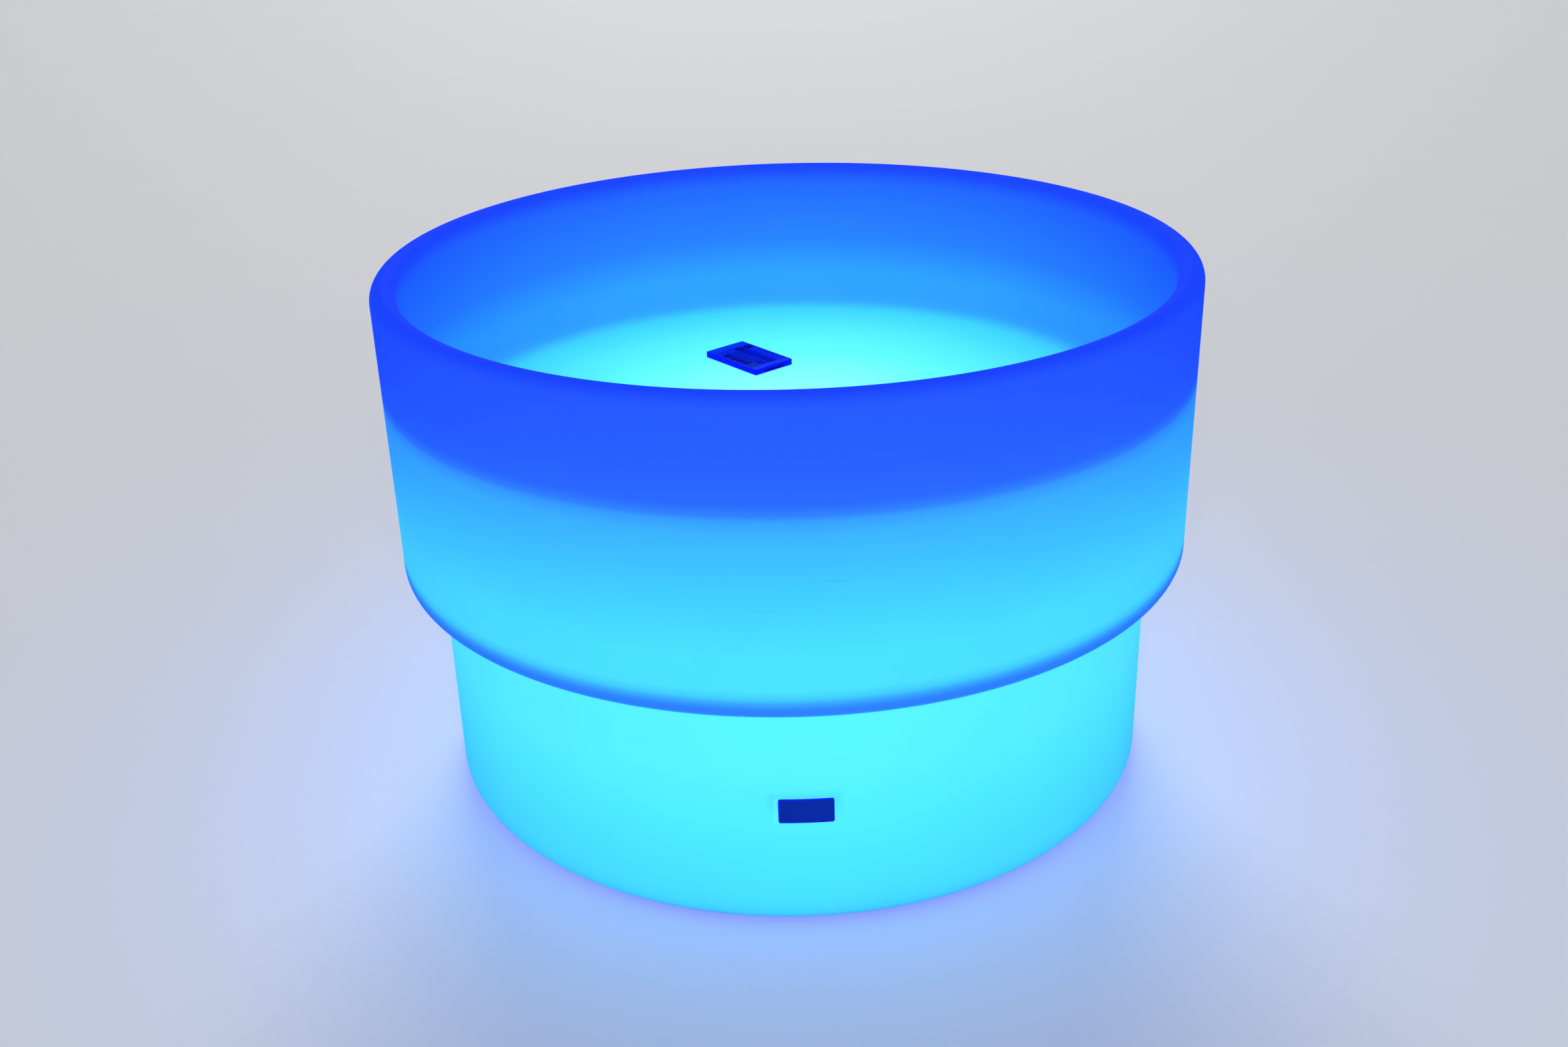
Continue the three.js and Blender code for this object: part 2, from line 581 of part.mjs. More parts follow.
// A strap bent over the battery, with a screwed tab on each side.
function batteryBracket() {
  const roof = UNIT_FLOOR_Z + BATTERY_HEIGHT + 2 * FIT_GAP;
  const outer = strapInner + STRAP_THICKNESS;
  const tab = strapInner + STRAP_TAB;
  const outside = [
    at(tab, TAB_Z), at(tab, TAB_TOP_Z), at(outer, TAB_TOP_Z), at(outer, roof + STRAP_THICKNESS),
  ];
  const inside = [at(strapInner, roof), at(strapInner, TAB_Z)];
  const mirrored = (points) => points.map((point) => at(-point.x, point.y)).reverse();
  const outline = new THREE.Shape([...outside, ...mirrored(outside), ...mirrored(inside), ...inside]);
  const strap = prism(outline, -STRAP_WIDTH / 2, STRAP_WIDTH / 2);
  strap.rotateX(Math.PI / 2).rotateZ(Math.PI / 2).translate(0, BATTERY_CENTRE_Y, 0);
  const holes = tabSpots.map(({ x, y }) =>
    rod(TAB_SCREW_RADIUS + FIT_GAP, TAB_Z - CUT_OVERRUN, TAB_TOP_Z + CUT_OVERRUN, x, y));
  return cut(strap, ...holes);
}

function controlBoard() {
  const sheet = outlineBox(CONTROL_LENGTH, CONTROL_WIDTH, CONTROL_POST_INSET / 2, 0, CONTROL_CENTRE_Y);
  const board = prism(sheet, CONTROL_Z, CONTROL_TOP_Z);
  const topOf = (height) => [CONTROL_TOP_Z - JOIN_OVERLAP, CONTROL_TOP_Z + height];
  const parts = [
    block(SWITCH_SIZE, SWITCH_SIZE, SWITCH_Z, CONTROL_Z + JOIN_OVERLAP, BUTTON_X, CONTROL_CENTRE_Y),
    rod(SWITCH_PLUNGER_RADIUS, PLUNGER_Z, SWITCH_Z + JOIN_OVERLAP, BUTTON_X, CONTROL_CENTRE_Y),
    block(DRIVER_LENGTH, DRIVER_WIDTH, ...topOf(DRIVER_HEIGHT), 0, CONTROL_CENTRE_Y),
    rod(CAPACITOR_RADIUS, ...topOf(CAPACITOR_HEIGHT), SOCKET_X, CONTROL_CENTRE_Y - CAPACITOR_RADIUS),
    rod(CAPACITOR_RADIUS, ...topOf(CAPACITOR_HEIGHT), BUTTON_X, CONTROL_CENTRE_Y - CAPACITOR_RADIUS),
    ...connectorSpots.map(({ x, y }) =>
      block(CONNECTOR_LENGTH, CONNECTOR_WIDTH, ...topOf(CONNECTOR_HEIGHT), x, y)),
  ];
  return join(board, ...parts);
}

function powerButton() {
  const bottom = UNIT_Z - BUTTON_STAND;
  const collarZ = UNIT_FLOOR_Z + FIT_GAP;
  const button = lathe([
    at(0, bottom), at(BUTTON_RADIUS - BUTTON_EDGE, bottom), at(BUTTON_RADIUS, bottom + BUTTON_EDGE),
    at(BUTTON_RADIUS, collarZ), at(BUTTON_COLLAR_RADIUS, collarZ),
    at(BUTTON_COLLAR_RADIUS, collarZ + BUTTON_COLLAR_THICKNESS),
    at(BUTTON_STEM_RADIUS, collarZ + BUTTON_COLLAR_THICKNESS),
    at(BUTTON_STEM_RADIUS, BUTTON_TOP_Z), at(0, BUTTON_TOP_Z),
  ], SMALL_SIDES);
  return button.translate(BUTTON_X, CONTROL_CENTRE_Y, 0);
}

function chargingSocket() {
  const top = CONTROL_Z - FIT_GAP;
  const roof = SOCKET_MOUTH_Z + SOCKET_BORE_DEPTH;
  const pinTip = SOCKET_MOUTH_Z + FIT_GAP;
  const seat = UNIT_Z - FIT_GAP;
  const socket = lathe([
    at(0, pinTip), at(SOCKET_PIN_RADIUS, pinTip),
    at(SOCKET_PIN_RADIUS, roof), at(SOCKET_BORE_RADIUS, roof),
    at(SOCKET_BORE_RADIUS, SOCKET_MOUTH_Z), at(SOCKET_COLLAR_RADIUS, SOCKET_MOUTH_Z),
    at(SOCKET_COLLAR_RADIUS, seat), at(SOCKET_RADIUS, seat),
    at(SOCKET_RADIUS, top), at(0, top),
  ], SMALL_SIDES);
  return socket.translate(SOCKET_X, CONTROL_CENTRE_Y, 0);
}

function socketCap() {
  const top = SOCKET_MOUTH_Z - FIT_GAP;
  const bottom = top - CAP_THICKNESS;
  const stubTop = top + CAP_STUB_LENGTH;
  const stub = SOCKET_BORE_RADIUS - FIT_GAP;
  const pinBore = SOCKET_PIN_RADIUS + FIT_GAP;
  const plug = lathe([
    at(0, bottom), at(CAP_RADIUS, bottom), at(CAP_RADIUS, top), at(stub, top),
    at(stub, stubTop), at(pinBore, stubTop), at(pinBore, top), at(0, top),
  ], SMALL_SIDES);
  const reach = CAP_RADIUS + CAP_TAB_LENGTH;
  const tab = block(reach, CAP_TAB_WIDTH, bottom, top, reach / 2);
  return join(plug, tab).translate(SOCKET_X, CONTROL_CENTRE_Y, 0);
}

function batteryLead() {
  const plug = connectorSpots[1];
  const z = CONTROL_TOP_Z + CONNECTOR_HEIGHT / 2;
  const startX = BATTERY_LENGTH / 2 + FIT_GAP;
  const endX = plug.x + CONNECTOR_LENGTH / 2 + FIT_GAP;
  const reach = startX + LEAD_SLACK;
  return lead([
    [startX, BATTERY_CENTRE_Y, z],
    [startX + LEAD_STUB, BATTERY_CENTRE_Y, z],
    [reach, BATTERY_CENTRE_Y - LEAD_SLACK, z],
    [reach, plug.y + LEAD_SLACK, z],
    [endX + LEAD_STUB, plug.y, z],
    [endX, plug.y, z],
  ]);
}

function ledLead() {
  const plug = connectorSpots[0];
  const z = CONTROL_TOP_Z + CONNECTOR_HEIGHT / 2;
  const startX = plug.x - CONNECTOR_LENGTH / 2 - FIT_GAP;
  return lead([
    [startX, plug.y, z],
    [startX - LEAD_STUB, plug.y, z],
    [LEAD_HOLE_X, LEAD_HOLE_Y, z + LEAD_SLACK],
    [LEAD_HOLE_X, LEAD_HOLE_Y, SINK_Z - LEAD_STUB],
    [LEAD_HOLE_X, LEAD_HOLE_Y, LED_BOARD_Z - FIT_GAP],
  ]);
}

// Remote, in its own frame: +X towards the coin tray, +Y across, height zero under its case.
const KEY_NAMES = [
  ['key_brighter', 'key_dimmer', 'key_off', 'key_on'],
  ['key_red', 'key_green', 'key_blue', 'key_white'],
  ['key_orange', 'key_light_green', 'key_azure', 'key_flash'],
  ['key_amber', 'key_turquoise', 'key_indigo', 'key_strobe'],
  ['key_gold', 'key_cyan', 'key_purple', 'key_fade'],
  ['key_yellow', 'key_sky', 'key_pink', 'key_smooth'],
];
const KEY_COLORS = [
  [0xe8e8e8, 0xe8e8e8, 0x141414, 0xd81818],
  [0xe01414, 0x12b83a, 0x1430d8, 0xf2f2f2],
  [0xe8541a, 0x4cc46a, 0x2858dc, 0xe8e8e8],
  [0xe8741a, 0x28b4c8, 0x4a2a8c, 0xe8e8e8],
  [0xe8941a, 0x1e96b4, 0x7a2a8c, 0xe8e8e8],
  [0xf0d820, 0x1478a0, 0xd8388c, 0xe8e8e8],
];
const keySpots = KEY_NAMES.flatMap((names, row) => names.map((name, column) => ({
  name,
  color: KEY_COLORS[row][column],
  x: KEY_FIELD_X + (row - (KEY_NAMES.length - 1) / 2) * KEY_ROW_PITCH,
  y: (column - (names.length - 1) / 2) * KEY_COLUMN_PITCH,
})));
const REMOTE_END = REMOTE_LENGTH / 2;
const LID_UNDERSIDE = REMOTE_HEIGHT - REMOTE_LID;
const KEY_COLLAR_TOP = LID_UNDERSIDE - FIT_GAP;
const KEY_COLLAR_Z = KEY_COLLAR_TOP - KEY_COLLAR_THICKNESS;
const REMOTE_BOARD_TOP = KEY_COLLAR_Z - KEY_TRAVEL - FIT_GAP;
const REMOTE_BOARD_Z = REMOTE_BOARD_TOP - REMOTE_BOARD_THICKNESS;
const LAMP_CENTRE_Z = REMOTE_SPLIT_Z + FIT_GAP / 2;
const TRAY_CENTRE = REMOTE_END - TRAY_LENGTH / 2;
const CELL_X = TRAY_CENTRE - REMOTE_WALL / 2;

function remoteTopCase() {
  const plate = outlineBox(REMOTE_LENGTH, REMOTE_WIDTH, REMOTE_CORNER);
  const gap = 2 * FIT_GAP;
  plate.holes.push(...keySpots.map(({ x, y }) =>
    outlineBox(KEY_LENGTH + gap, KEY_WIDTH + gap, KEY_CORNER, x, y, THREE.Path)));
  const lid = prism(plate, LID_UNDERSIDE, REMOTE_HEIGHT);
  const frame = caseFrame(REMOTE_SPLIT_Z + FIT_GAP, LID_UNDERSIDE + JOIN_OVERLAP);
  return cut(join(lid, frame), lampHole());
}

function caseFrame(fromZ, toZ) {
  const wall = outlineBox(REMOTE_LENGTH, REMOTE_WIDTH, REMOTE_CORNER);
  const [length, width] = [REMOTE_LENGTH, REMOTE_WIDTH].map((size) => size - 2 * REMOTE_WALL);
  wall.holes.push(outlineBox(length, width, REMOTE_CORNER - REMOTE_WALL, 0, 0, THREE.Path));
  return prism(wall, fromZ, toZ);
}

function remoteBottomCase() {
  const plate = prism(outlineBox(REMOTE_LENGTH, REMOTE_WIDTH, REMOTE_CORNER), 0, REMOTE_FLOOR);
  const frame = caseFrame(REMOTE_FLOOR - JOIN_OVERLAP, REMOTE_SPLIT_Z);
  const railY = REMOTE_WIDTH / 2 - REMOTE_WALL - RAIL_WIDTH / 2 + JOIN_OVERLAP / 2;
  const rails = [-1, 1].map((side) => block(
    REMOTE_LENGTH - 2 * REMOTE_CORNER, RAIL_WIDTH + JOIN_OVERLAP,
    REMOTE_FLOOR - JOIN_OVERLAP, REMOTE_BOARD_Z - FIT_GAP, 0, side * railY));
  const slot = block(REMOTE_WALL + 2 * CUT_OVERRUN, TRAY_WIDTH + 2 * FIT_GAP,
    TRAY_Z - FIT_GAP, TRAY_Z + TRAY_HEIGHT + FIT_GAP, REMOTE_END - REMOTE_WALL / 2);
  return cut(join(plate, frame, ...rails), slot, lampHole());
}

function lampHole() {
  const hole = rod(LAMP_RADIUS + FIT_GAP, -CUT_OVERRUN, REMOTE_WALL + CUT_OVERRUN);
  return hole.rotateY(Math.PI / 2).translate(-REMOTE_END, 0, LAMP_CENTRE_Z);
}

function remoteBoard() {
  const edge = REMOTE_WALL + FIT_GAP;
  const fromX = REMOTE_BOARD_SETBACK - REMOTE_END;
  const toX = REMOTE_END - edge;
  const corner = REMOTE_CORNER - REMOTE_WALL;
  const sheet = outlineBox(toX - fromX, REMOTE_WIDTH - 2 * edge, corner, (fromX + toX) / 2);
  return prism(sheet, REMOTE_BOARD_Z, REMOTE_BOARD_TOP);
}

// Signal lamp: a round bulb in the end wall, with its legs just ahead of the board.
function remoteLamp() {
  const tip = -REMOTE_END - LAMP_STAND;
  const back = tip + LAMP_LENGTH;
  const bulb = closed(new THREE.SphereGeometry(LAMP_RADIUS, SMALL_SIDES, SMALL_SIDES / 2));
  bulb.translate(tip + LAMP_RADIUS, 0, LAMP_CENTRE_Z);
  const stem = rod(LAMP_RADIUS, tip + LAMP_RADIUS, back).rotateY(Math.PI / 2);
  stem.translate(0, 0, LAMP_CENTRE_Z);
  const legsFrom = back - JOIN_OVERLAP;
  const legsTo = REMOTE_BOARD_SETBACK - REMOTE_END - FIT_GAP;
  const legsMiddle = (legsFrom + legsTo) / 2;
  const legs = block(legsTo - legsFrom, LAMP_RADIUS, REMOTE_BOARD_Z, REMOTE_BOARD_TOP, legsMiddle);
  return join(bulb, stem, legs);
}

function coinTray() {
  const plate = outlineBox(TRAY_LENGTH, TRAY_WIDTH, REMOTE_WALL / 2, TRAY_CENTRE, 0);
  const top = TRAY_Z + TRAY_HEIGHT;
  const tray = prism(plate, TRAY_Z, top);
  const above = top + CUT_OVERRUN;
  const hole = rod(CELL_RADIUS + FIT_GAP, TRAY_Z - CUT_OVERRUN, above, CELL_X, 0, CELL_SIDES);
  const grip = block(2 * TRAY_GRIP_DEPTH, TRAY_GRIP_WIDTH, top - TRAY_GRIP_DEPTH, above, REMOTE_END);
  return cut(tray, hole, grip);
}

function coinCell() {
  const z = TRAY_Z + (TRAY_HEIGHT - CELL_THICKNESS) / 2;
  return rod(CELL_RADIUS, z, z + CELL_THICKNESS, CELL_X, 0, CELL_SIDES);
}

function key({ x, y }) {
  const top = REMOTE_HEIGHT + KEY_STAND;
  const wide = 2 * KEY_COLLAR_OVERHANG;
  const rim = outlineBox(KEY_LENGTH + wide, KEY_WIDTH + wide, KEY_CORNER, x, y);
  const cap = outlineBox(KEY_LENGTH, KEY_WIDTH, KEY_CORNER, x, y);
  return join(prism(rim, KEY_COLLAR_Z, KEY_COLLAR_TOP), prism(cap, KEY_COLLAR_Z, top));
}

// Assembly
const table = new THREE.Group();
table.add(piece('tub_shell', tubShell(), 0x4cc8ff, 0.45));
table.add(piece('label_plate', labelPlate(), 0x10348c, 0.4));
padSpots.forEach(({ x, y }, i) => {
  const pad = piece(`foot_pad_${i + 1}`, footPad(), 0x202124, 0.9);
  pad.position.set(x, y, 0);
  table.add(pad);
});

const lightUnit = new THREE.Group();
lightUnit.add(piece('light_housing', lightHousing(), 0xe6e8ea, 0.5));
lightUnit.add(piece('flange_gasket', flangeGasket(), 0x2a2b2e, 0.85));
screwSpots.forEach(({ x, y, turn }, i) => {
  const fastener = piece(`flange_screw_${i + 1}`, flangeScrew(), 0xb8bcc0, 0.3, 0.9);
  fastener.position.set(x, y, UNIT_Z - FIT_GAP);
  fastener.rotation.z = turn;
  lightUnit.add(fastener);
});
lightUnit.add(piece('dome_seal', domeSeal(), 0x9a9ca0, 0.8));
lightUnit.add(piece('light_dome', lightDome(), 0xd8f4ff, 0.3));
lightUnit.add(piece('heat_sink', heatSink(), 0xb4b8bc, 0.4, 0.9));
lightUnit.add(piece('led_board', ledBoard(), 0xf0f2f4, 0.5));
lightUnit.add(piece('ir_receiver', irReceiver(), 0x1a1a1e, 0.3));
lightUnit.add(piece('battery_pack', batteryPack(), 0x1e5ab4, 0.45));
lightUnit.add(piece('battery_bracket', batteryBracket(), 0xb4b8bc, 0.4, 0.9));
tabSpots.forEach(({ x, y }, i) => {
  const small = screw(TAB_SCREW_RADIUS, TAB_SCREW_LENGTH, TAB_SCREW_HEAD_RADIUS, TAB_SCREW_HEAD_HEIGHT);
  const fastener = piece(`bracket_screw_${i + 1}`, small.rotateX(Math.PI), 0xb8bcc0, 0.3, 0.9);
  fastener.position.set(x, y, TAB_SEAT_Z);
  lightUnit.add(fastener);
});
lightUnit.add(piece('control_board', controlBoard(), 0x1c6a3c, 0.5));
lightUnit.add(piece('power_button', powerButton(), 0xd4d8dc, 0.5));
lightUnit.add(piece('charging_socket', chargingSocket(), 0x1a1a1e, 0.5));
lightUnit.add(piece('socket_cap', socketCap(), 0x26272a, 0.85));
lightUnit.add(piece('battery_lead', batteryLead(), 0xb01c1c, 0.6));
lightUnit.add(piece('led_lead', ledLead(), 0x202124, 0.6));
table.add(lightUnit);

const remote = new THREE.Group();
remote.add(piece('remote_bottom_case', remoteBottomCase(), 0xdfe3ea, 0.5));
remote.add(piece('remote_top_case', remoteTopCase(), 0xe8ecf2, 0.5));
remote.add(piece('remote_board', remoteBoard(), 0x1c6a3c, 0.6));
remote.add(piece('remote_ir_led', remoteLamp(), 0x2a1c3c, 0.15));
remote.add(piece('coin_tray', coinTray(), 0xdfe3ea, 0.5));
remote.add(piece('coin_cell', coinCell(), 0xc4c8cc, 0.25, 0.95));
keySpots.forEach((spot) => remote.add(piece(spot.name, key(spot), spot.color, 0.7)));
remote.position.set(REMOTE_X, REMOTE_Y, BOWL_FLOOR_Z + FIT_GAP);
remote.rotation.z = REMOTE_TURN;
table.add(remote);

export default table;
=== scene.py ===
"""Dresses a light-up table: a hollow glowing drum with a bowl in its top, and its card remote.

Metres, +Z up. The origin is on the floor under the table's centre, and -Y is the front.
"""

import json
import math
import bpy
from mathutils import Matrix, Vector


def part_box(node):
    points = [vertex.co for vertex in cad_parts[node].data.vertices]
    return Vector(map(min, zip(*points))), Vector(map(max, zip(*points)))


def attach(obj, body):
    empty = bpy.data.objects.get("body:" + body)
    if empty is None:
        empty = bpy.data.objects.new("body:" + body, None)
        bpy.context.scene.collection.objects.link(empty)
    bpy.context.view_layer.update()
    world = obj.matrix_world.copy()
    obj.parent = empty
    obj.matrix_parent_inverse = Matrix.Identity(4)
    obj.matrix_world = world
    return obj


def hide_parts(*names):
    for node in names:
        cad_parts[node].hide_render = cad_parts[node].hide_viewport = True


bl_info = {
    "name": "Light-up Bowl Table",
    "version": (1, 0, 0),
    "blender": (4, 5, 0),
    "location": "View3D > Sidebar > Bowl Table",
    "description": "Builds the glowing body, the light unit and the card remote of a bowl table",
    "category": "Object",
}

import bmesh
import bpy
from bpy.props import FloatProperty, FloatVectorProperty, IntProperty, PointerProperty
from mathutils import Matrix, Vector

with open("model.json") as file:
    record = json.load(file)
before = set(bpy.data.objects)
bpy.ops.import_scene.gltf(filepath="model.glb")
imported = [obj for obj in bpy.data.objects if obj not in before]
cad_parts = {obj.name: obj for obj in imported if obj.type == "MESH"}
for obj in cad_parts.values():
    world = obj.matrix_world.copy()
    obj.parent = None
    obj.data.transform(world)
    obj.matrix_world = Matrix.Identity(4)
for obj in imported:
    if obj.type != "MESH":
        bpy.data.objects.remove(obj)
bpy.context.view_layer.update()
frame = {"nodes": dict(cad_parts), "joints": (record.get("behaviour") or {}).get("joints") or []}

MM = 0.001
MERGED = 0.001 * MM
SHARP_ANGLE = math.radians(35)


# Measures taken from the frame

def box_size(node):
    low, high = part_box(node)
    return high - low


def box_middle(node):
    low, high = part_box(node)
    return (low + high) / 2


def heights(node):
    return [corner.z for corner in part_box(node)]


def nodes_named(start):
    return sorted(node for node in frame["nodes"] if node.startswith(start))


TRAY_WAY = next(Vector(joint["axis"]) for joint in frame["joints"]
                if joint["name"] == "coin_tray_slide")
REMOTE_TURN = math.atan2(TRAY_WAY.y, TRAY_WAY.x)
REMOTE_BASE_Z = heights("remote_bottom_case")[0]
PAD_NODES = nodes_named("foot_pad_")
FLANGE_SCREWS = nodes_named("flange_screw_")
BRACKET_SCREWS = nodes_named("bracket_screw_")


# Settings

def linear(code):
    """A scene-linear colour from a six-figure web colour."""
    shares = [int(code[i:i + 2], 16) / 255 for i in (0, 2, 4)]
    return tuple(v / 12.92 if v <= 0.04045 else ((v + 0.055) / 1.055) ** 2.4 for v in shares)


def between(first, second, amount):
    return tuple(a + (b - a) * amount for a, b in zip(first, second))


def grey(level):
    return (level, level, level)


def length(name, description, default):
    return FloatProperty(name=name, description=description, default=default, unit="LENGTH",
                         precision=4, min=0)


def share(name, description, default):
    return FloatProperty(name=name, description=description, default=default, subtype="FACTOR",
                         min=0, max=1)


def angle(name, description, default):
    return FloatProperty(name=name, description=description, default=default, subtype="ANGLE")


def power(name, description, default):
    return FloatProperty(name=name, description=description, default=default, min=0)


def color(name, description, code):
    return FloatVectorProperty(name=name, description=description, default=linear(code),
                               subtype="COLOR", size=3, min=0, max=1)


def part(group, name, description):
    return PointerProperty(type=group, name=name, description=description)


class BodySizes(bpy.types.PropertyGroup):
    height: length("Height", "Floor to the crest of the lip", heights("tub_shell")[1])
    rim_radius: length("Rim radius", "Outer radius just under the lip", box_size("tub_shell").x / 2)
    rim_width: length("Rim width", "Width of the rounded lip", 0.025)
    draft: share("Draft", "How much the walls lean out for each unit of height", 0.005)
    bowl_depth: length("Bowl depth", "Crest of the lip to the bowl's floor", 0.165)
    bowl_fillet: length("Bowl fillet", "Radius between the bowl's wall and floor", 0.036)
    drum_height: length("Drum height", "Crest of the lip to the ledge's underside", 0.290)
    drum_corner: length("Drum corner", "Radius of the drum's lower edge", 0.010)
    plinth_radius: length("Plinth radius", "Radius of the lower drum at the ledge", 0.3625)
    step_fillet: length("Step fillet", "Radius between the ledge and the lower drum", 0.006)
    foot_corner: length("Foot corner", "Radius of the lower drum's bottom edge", 0.020)
    wall: length("Wall", "Thickness of the moulded shell", 0.005)
    base_z: length("Base height", "Floor to the base ring", heights("tub_shell")[0])
    base_recess: length("Base recess", "How far the base's middle is raised", 0.006)
    base_ring: length("Base ring radius", "Inner radius of the base ring", 0.296)
    ring_slope: length("Ring slope", "Width of the slope inside the base ring", 0.008)
    pocket_radius: length("Pocket radius", "Radius of the light unit's pocket", 0.114)
    pocket_depth: length("Pocket depth", "Depth of the light unit's pocket", 0.022)
    opening_radius: length("Opening radius", "Radius of the light unit's opening", 0.084)
    boss: length("Boss thickness", "Thickness of the boss round the opening", 0.014)
    sides: IntProperty(name="Sides", description="Sides round the body", default=192, min=24)


class GlowColors(bpy.types.PropertyGroup):
    border_z: length("Border height", "Height where the lit drum turns dark", 0.4238)
    given_plinth: share("Glow of the lower drum", "Share of its colour that it gives out", 0.5)
    given_drum: share("Glow of the upper drum", "Share of its colour that it gives out", 0.2)
    given_wall: share("Glow of the bowl's wall", "Share of its colour that it gives out", 0.5)
    given_floor: share("Glow of the bowl's floor", "Share of its colour that it gives out", 0.75)
    under: color("Underside", "Base under the body", "2A86FF")
    foot: color("Foot", "Bottom edge of the lower drum", "44D6FF")
    plinth_low: color("Plinth, low", "Lower drum near the floor", "4AE4FF")
    plinth_mid: color("Plinth, middle", "Lower drum at half height", "52F3FF")
    plinth_high: color("Plinth, high", "Lower drum under the ledge", "5CFAFF")
    ledge: color("Ledge line", "Dim line along the drum's lower edge", "3085FF")
    drum_low: color("Drum, low", "Upper drum above its lower edge", "4DE7FF")
    drum_mid: color("Drum, middle", "Upper drum at half height", "44D3FF")
    drum_high: color("Drum, high", "Upper drum under the border", "3EBAFF")
    border: color("Border", "Middle of the border between lit and dark", "3488FF")
    band_low: color("Band, low", "Dark band just above the border", "2D6EFF")
    band_high: color("Band, high", "Dark band under the lip", "285EFF")
    lip: color("Lip", "Crest of the lip", "1F4BFF")
    wall_high: color("Bowl wall, high", "Bowl's wall under the lip", "2668FF")
    wall_mid: color("Bowl wall, middle", "Bowl's wall at half height", "2C83FF")
    wall_low: color("Bowl wall, low", "Bowl's wall above its fillet", "35A4FF")
    floor_edge: color("Bowl floor, edge", "Bowl's floor beside its fillet", "3FCEFF")
    floor_mid: color("Bowl floor, middle", "Bowl's floor at half radius", "60FCFF")
    floor_hot: color("Bowl floor, centre", "Bowl's floor over the lamp", "90FFFF")


class PlateSettings(bpy.types.PropertyGroup):
    width: length("Width", "Width of the bare plate", box_size("label_plate").x)
    height: length("Height", "Height of the bare plate", box_size("label_plate").z)
    corner: length("Corner", "Radius of its corners", 0.002)
    thickness: length("Thickness", "Thickness of the plate with its glue", 0.0014)
    border: length("Border", "Width of the bright line along its edge", 0.0011)
    seat_left: length("Seat, left", "How far the plate's seat reaches past its left end", 0.0036)
    seat_edge: length("Seat, edge", "How far the seat reaches past its other sides", 0.0007)
    seat_shade: length("Seat shade", "Reach of the soft shade round the seat", 0.011)
    seat: color("Seat", "Plate's seat in the lit body", "76FFFF")
    shade: color("Shade", "Soft shade above the plate's seat", "3ECCFF")
    face: color("Face", "Face of the plate", "042685")
    edge: color("Edge", "Bright line along its edge", "001CCE")


class UnderSettings(bpy.types.PropertyGroup):
    rubber: color("Rubber", "Foot pads, gasket and socket cap", "1C1D20")
    housing: color("Housing", "White plastic of the light unit", "E2E5E8")
    steel: color("Steel", "Screws and strap", "B4B8BC")
    button: color("Button", "Power button", "AEB4BA")
    socket: color("Socket", "Charging socket", "18181B")
    opal: color("Opal cover", "Cover over the lamps", "C8F2FF")


# The remote's colours are painted as it looks in the table's blue light: the light and shade that
# fall on it are painted into them.
class RemoteSettings(bpy.types.PropertyGroup):
    corner: length("Corner", "Radius of the case's corners", 0.0018)
    edge: length("Edge", "Radius of the case's edges", 0.0006)
    case: color("Case", "Case of the remote in the table's light", "0E40FA")
    # Painted shade: the case's sides are darker than its top only because less of the table's light
    # falls on them.
    shaded_case_side: color("Case sides", "Sides of the case in the table's light", "0014D6")
    field: color("Key field", "Printed field between the keys", "0022EC")
    key_dark: color("Dark keys", "ON and OFF keys", "000E7E")
    key_warm: color("Warm keys", "Red to amber keys", "10149B")
    key_green: color("Green keys", "Green to turquoise keys", "0032CC")
    key_blue: color("Blue keys", "Blue to purple keys", "001EC8")
    key_yellow: color("Yellow key", "Yellow key", "00589A")
    key_pale: color("Pale keys", "Pale keys with marks", "0C40FF")
    mark: color("Marks", "Marks on the keys", "02024C")
    mark_pale: color("Pale marks", "Marks on the dark keys", "1C48F0")
    # Painted shade: the tray is of the case's own plastic, and is darker only because it sits in
    # the shade of its slot.
    tray: color("Coin tray", "Tray in the remote's end", "000096")


class StageSettings(bpy.types.PropertyGroup):
    floor: color("Floor", "Pale floor", "E4E6EA")
    bounce: color("Bounce", "What the floor throws back at the table", "A0A2A6")
    backdrop: color("Backdrop", "Pale tone where the camera looks past the floor", "C4C5C8")
    key_level: power("Key light", "Strength of the front light", 2.4)
    back_level: power("Back light", "Strength of the back light", 2.2)
    world_level: power("World light", "Strength of the even light", 0.2)
    light_rise: angle("Light height", "Angle of both lights above the floor", 0.35)
    softness: angle("Softness", "Angle over which each light spreads", 0.6)
    lens: FloatProperty(name="Lens", description="Focal length", default=39.546, unit="CAMERA")
    height: length("Camera height", "Height of the camera", 0.98928)
    distance: length("Camera distance", "Distance in front of the table's centre", 1.63877)
    pitch: angle("Pitch", "How far the camera looks down", 0.4288)
    yaw: angle("Yaw", "How far the camera looks to the left", 0.00573)
    roll: angle("Roll", "How far the camera is tilted", -0.02923)


class TableSettings(bpy.types.PropertyGroup):
    body: part(BodySizes, "Body", "Sizes of the moulded body")
    glow: part(GlowColors, "Glow", "Colours of the lit body")
    plate: part(PlateSettings, "Plate", "The bare plate")
    under: part(UnderSettings, "Underside", "Feet and light unit")
    remote: part(RemoteSettings, "Remote", "The card remote")
    stage: part(StageSettings, "Stage", "Light, floor and camera")


def settings():
    return bpy.context.scene.bowl_table


# Shader wiring

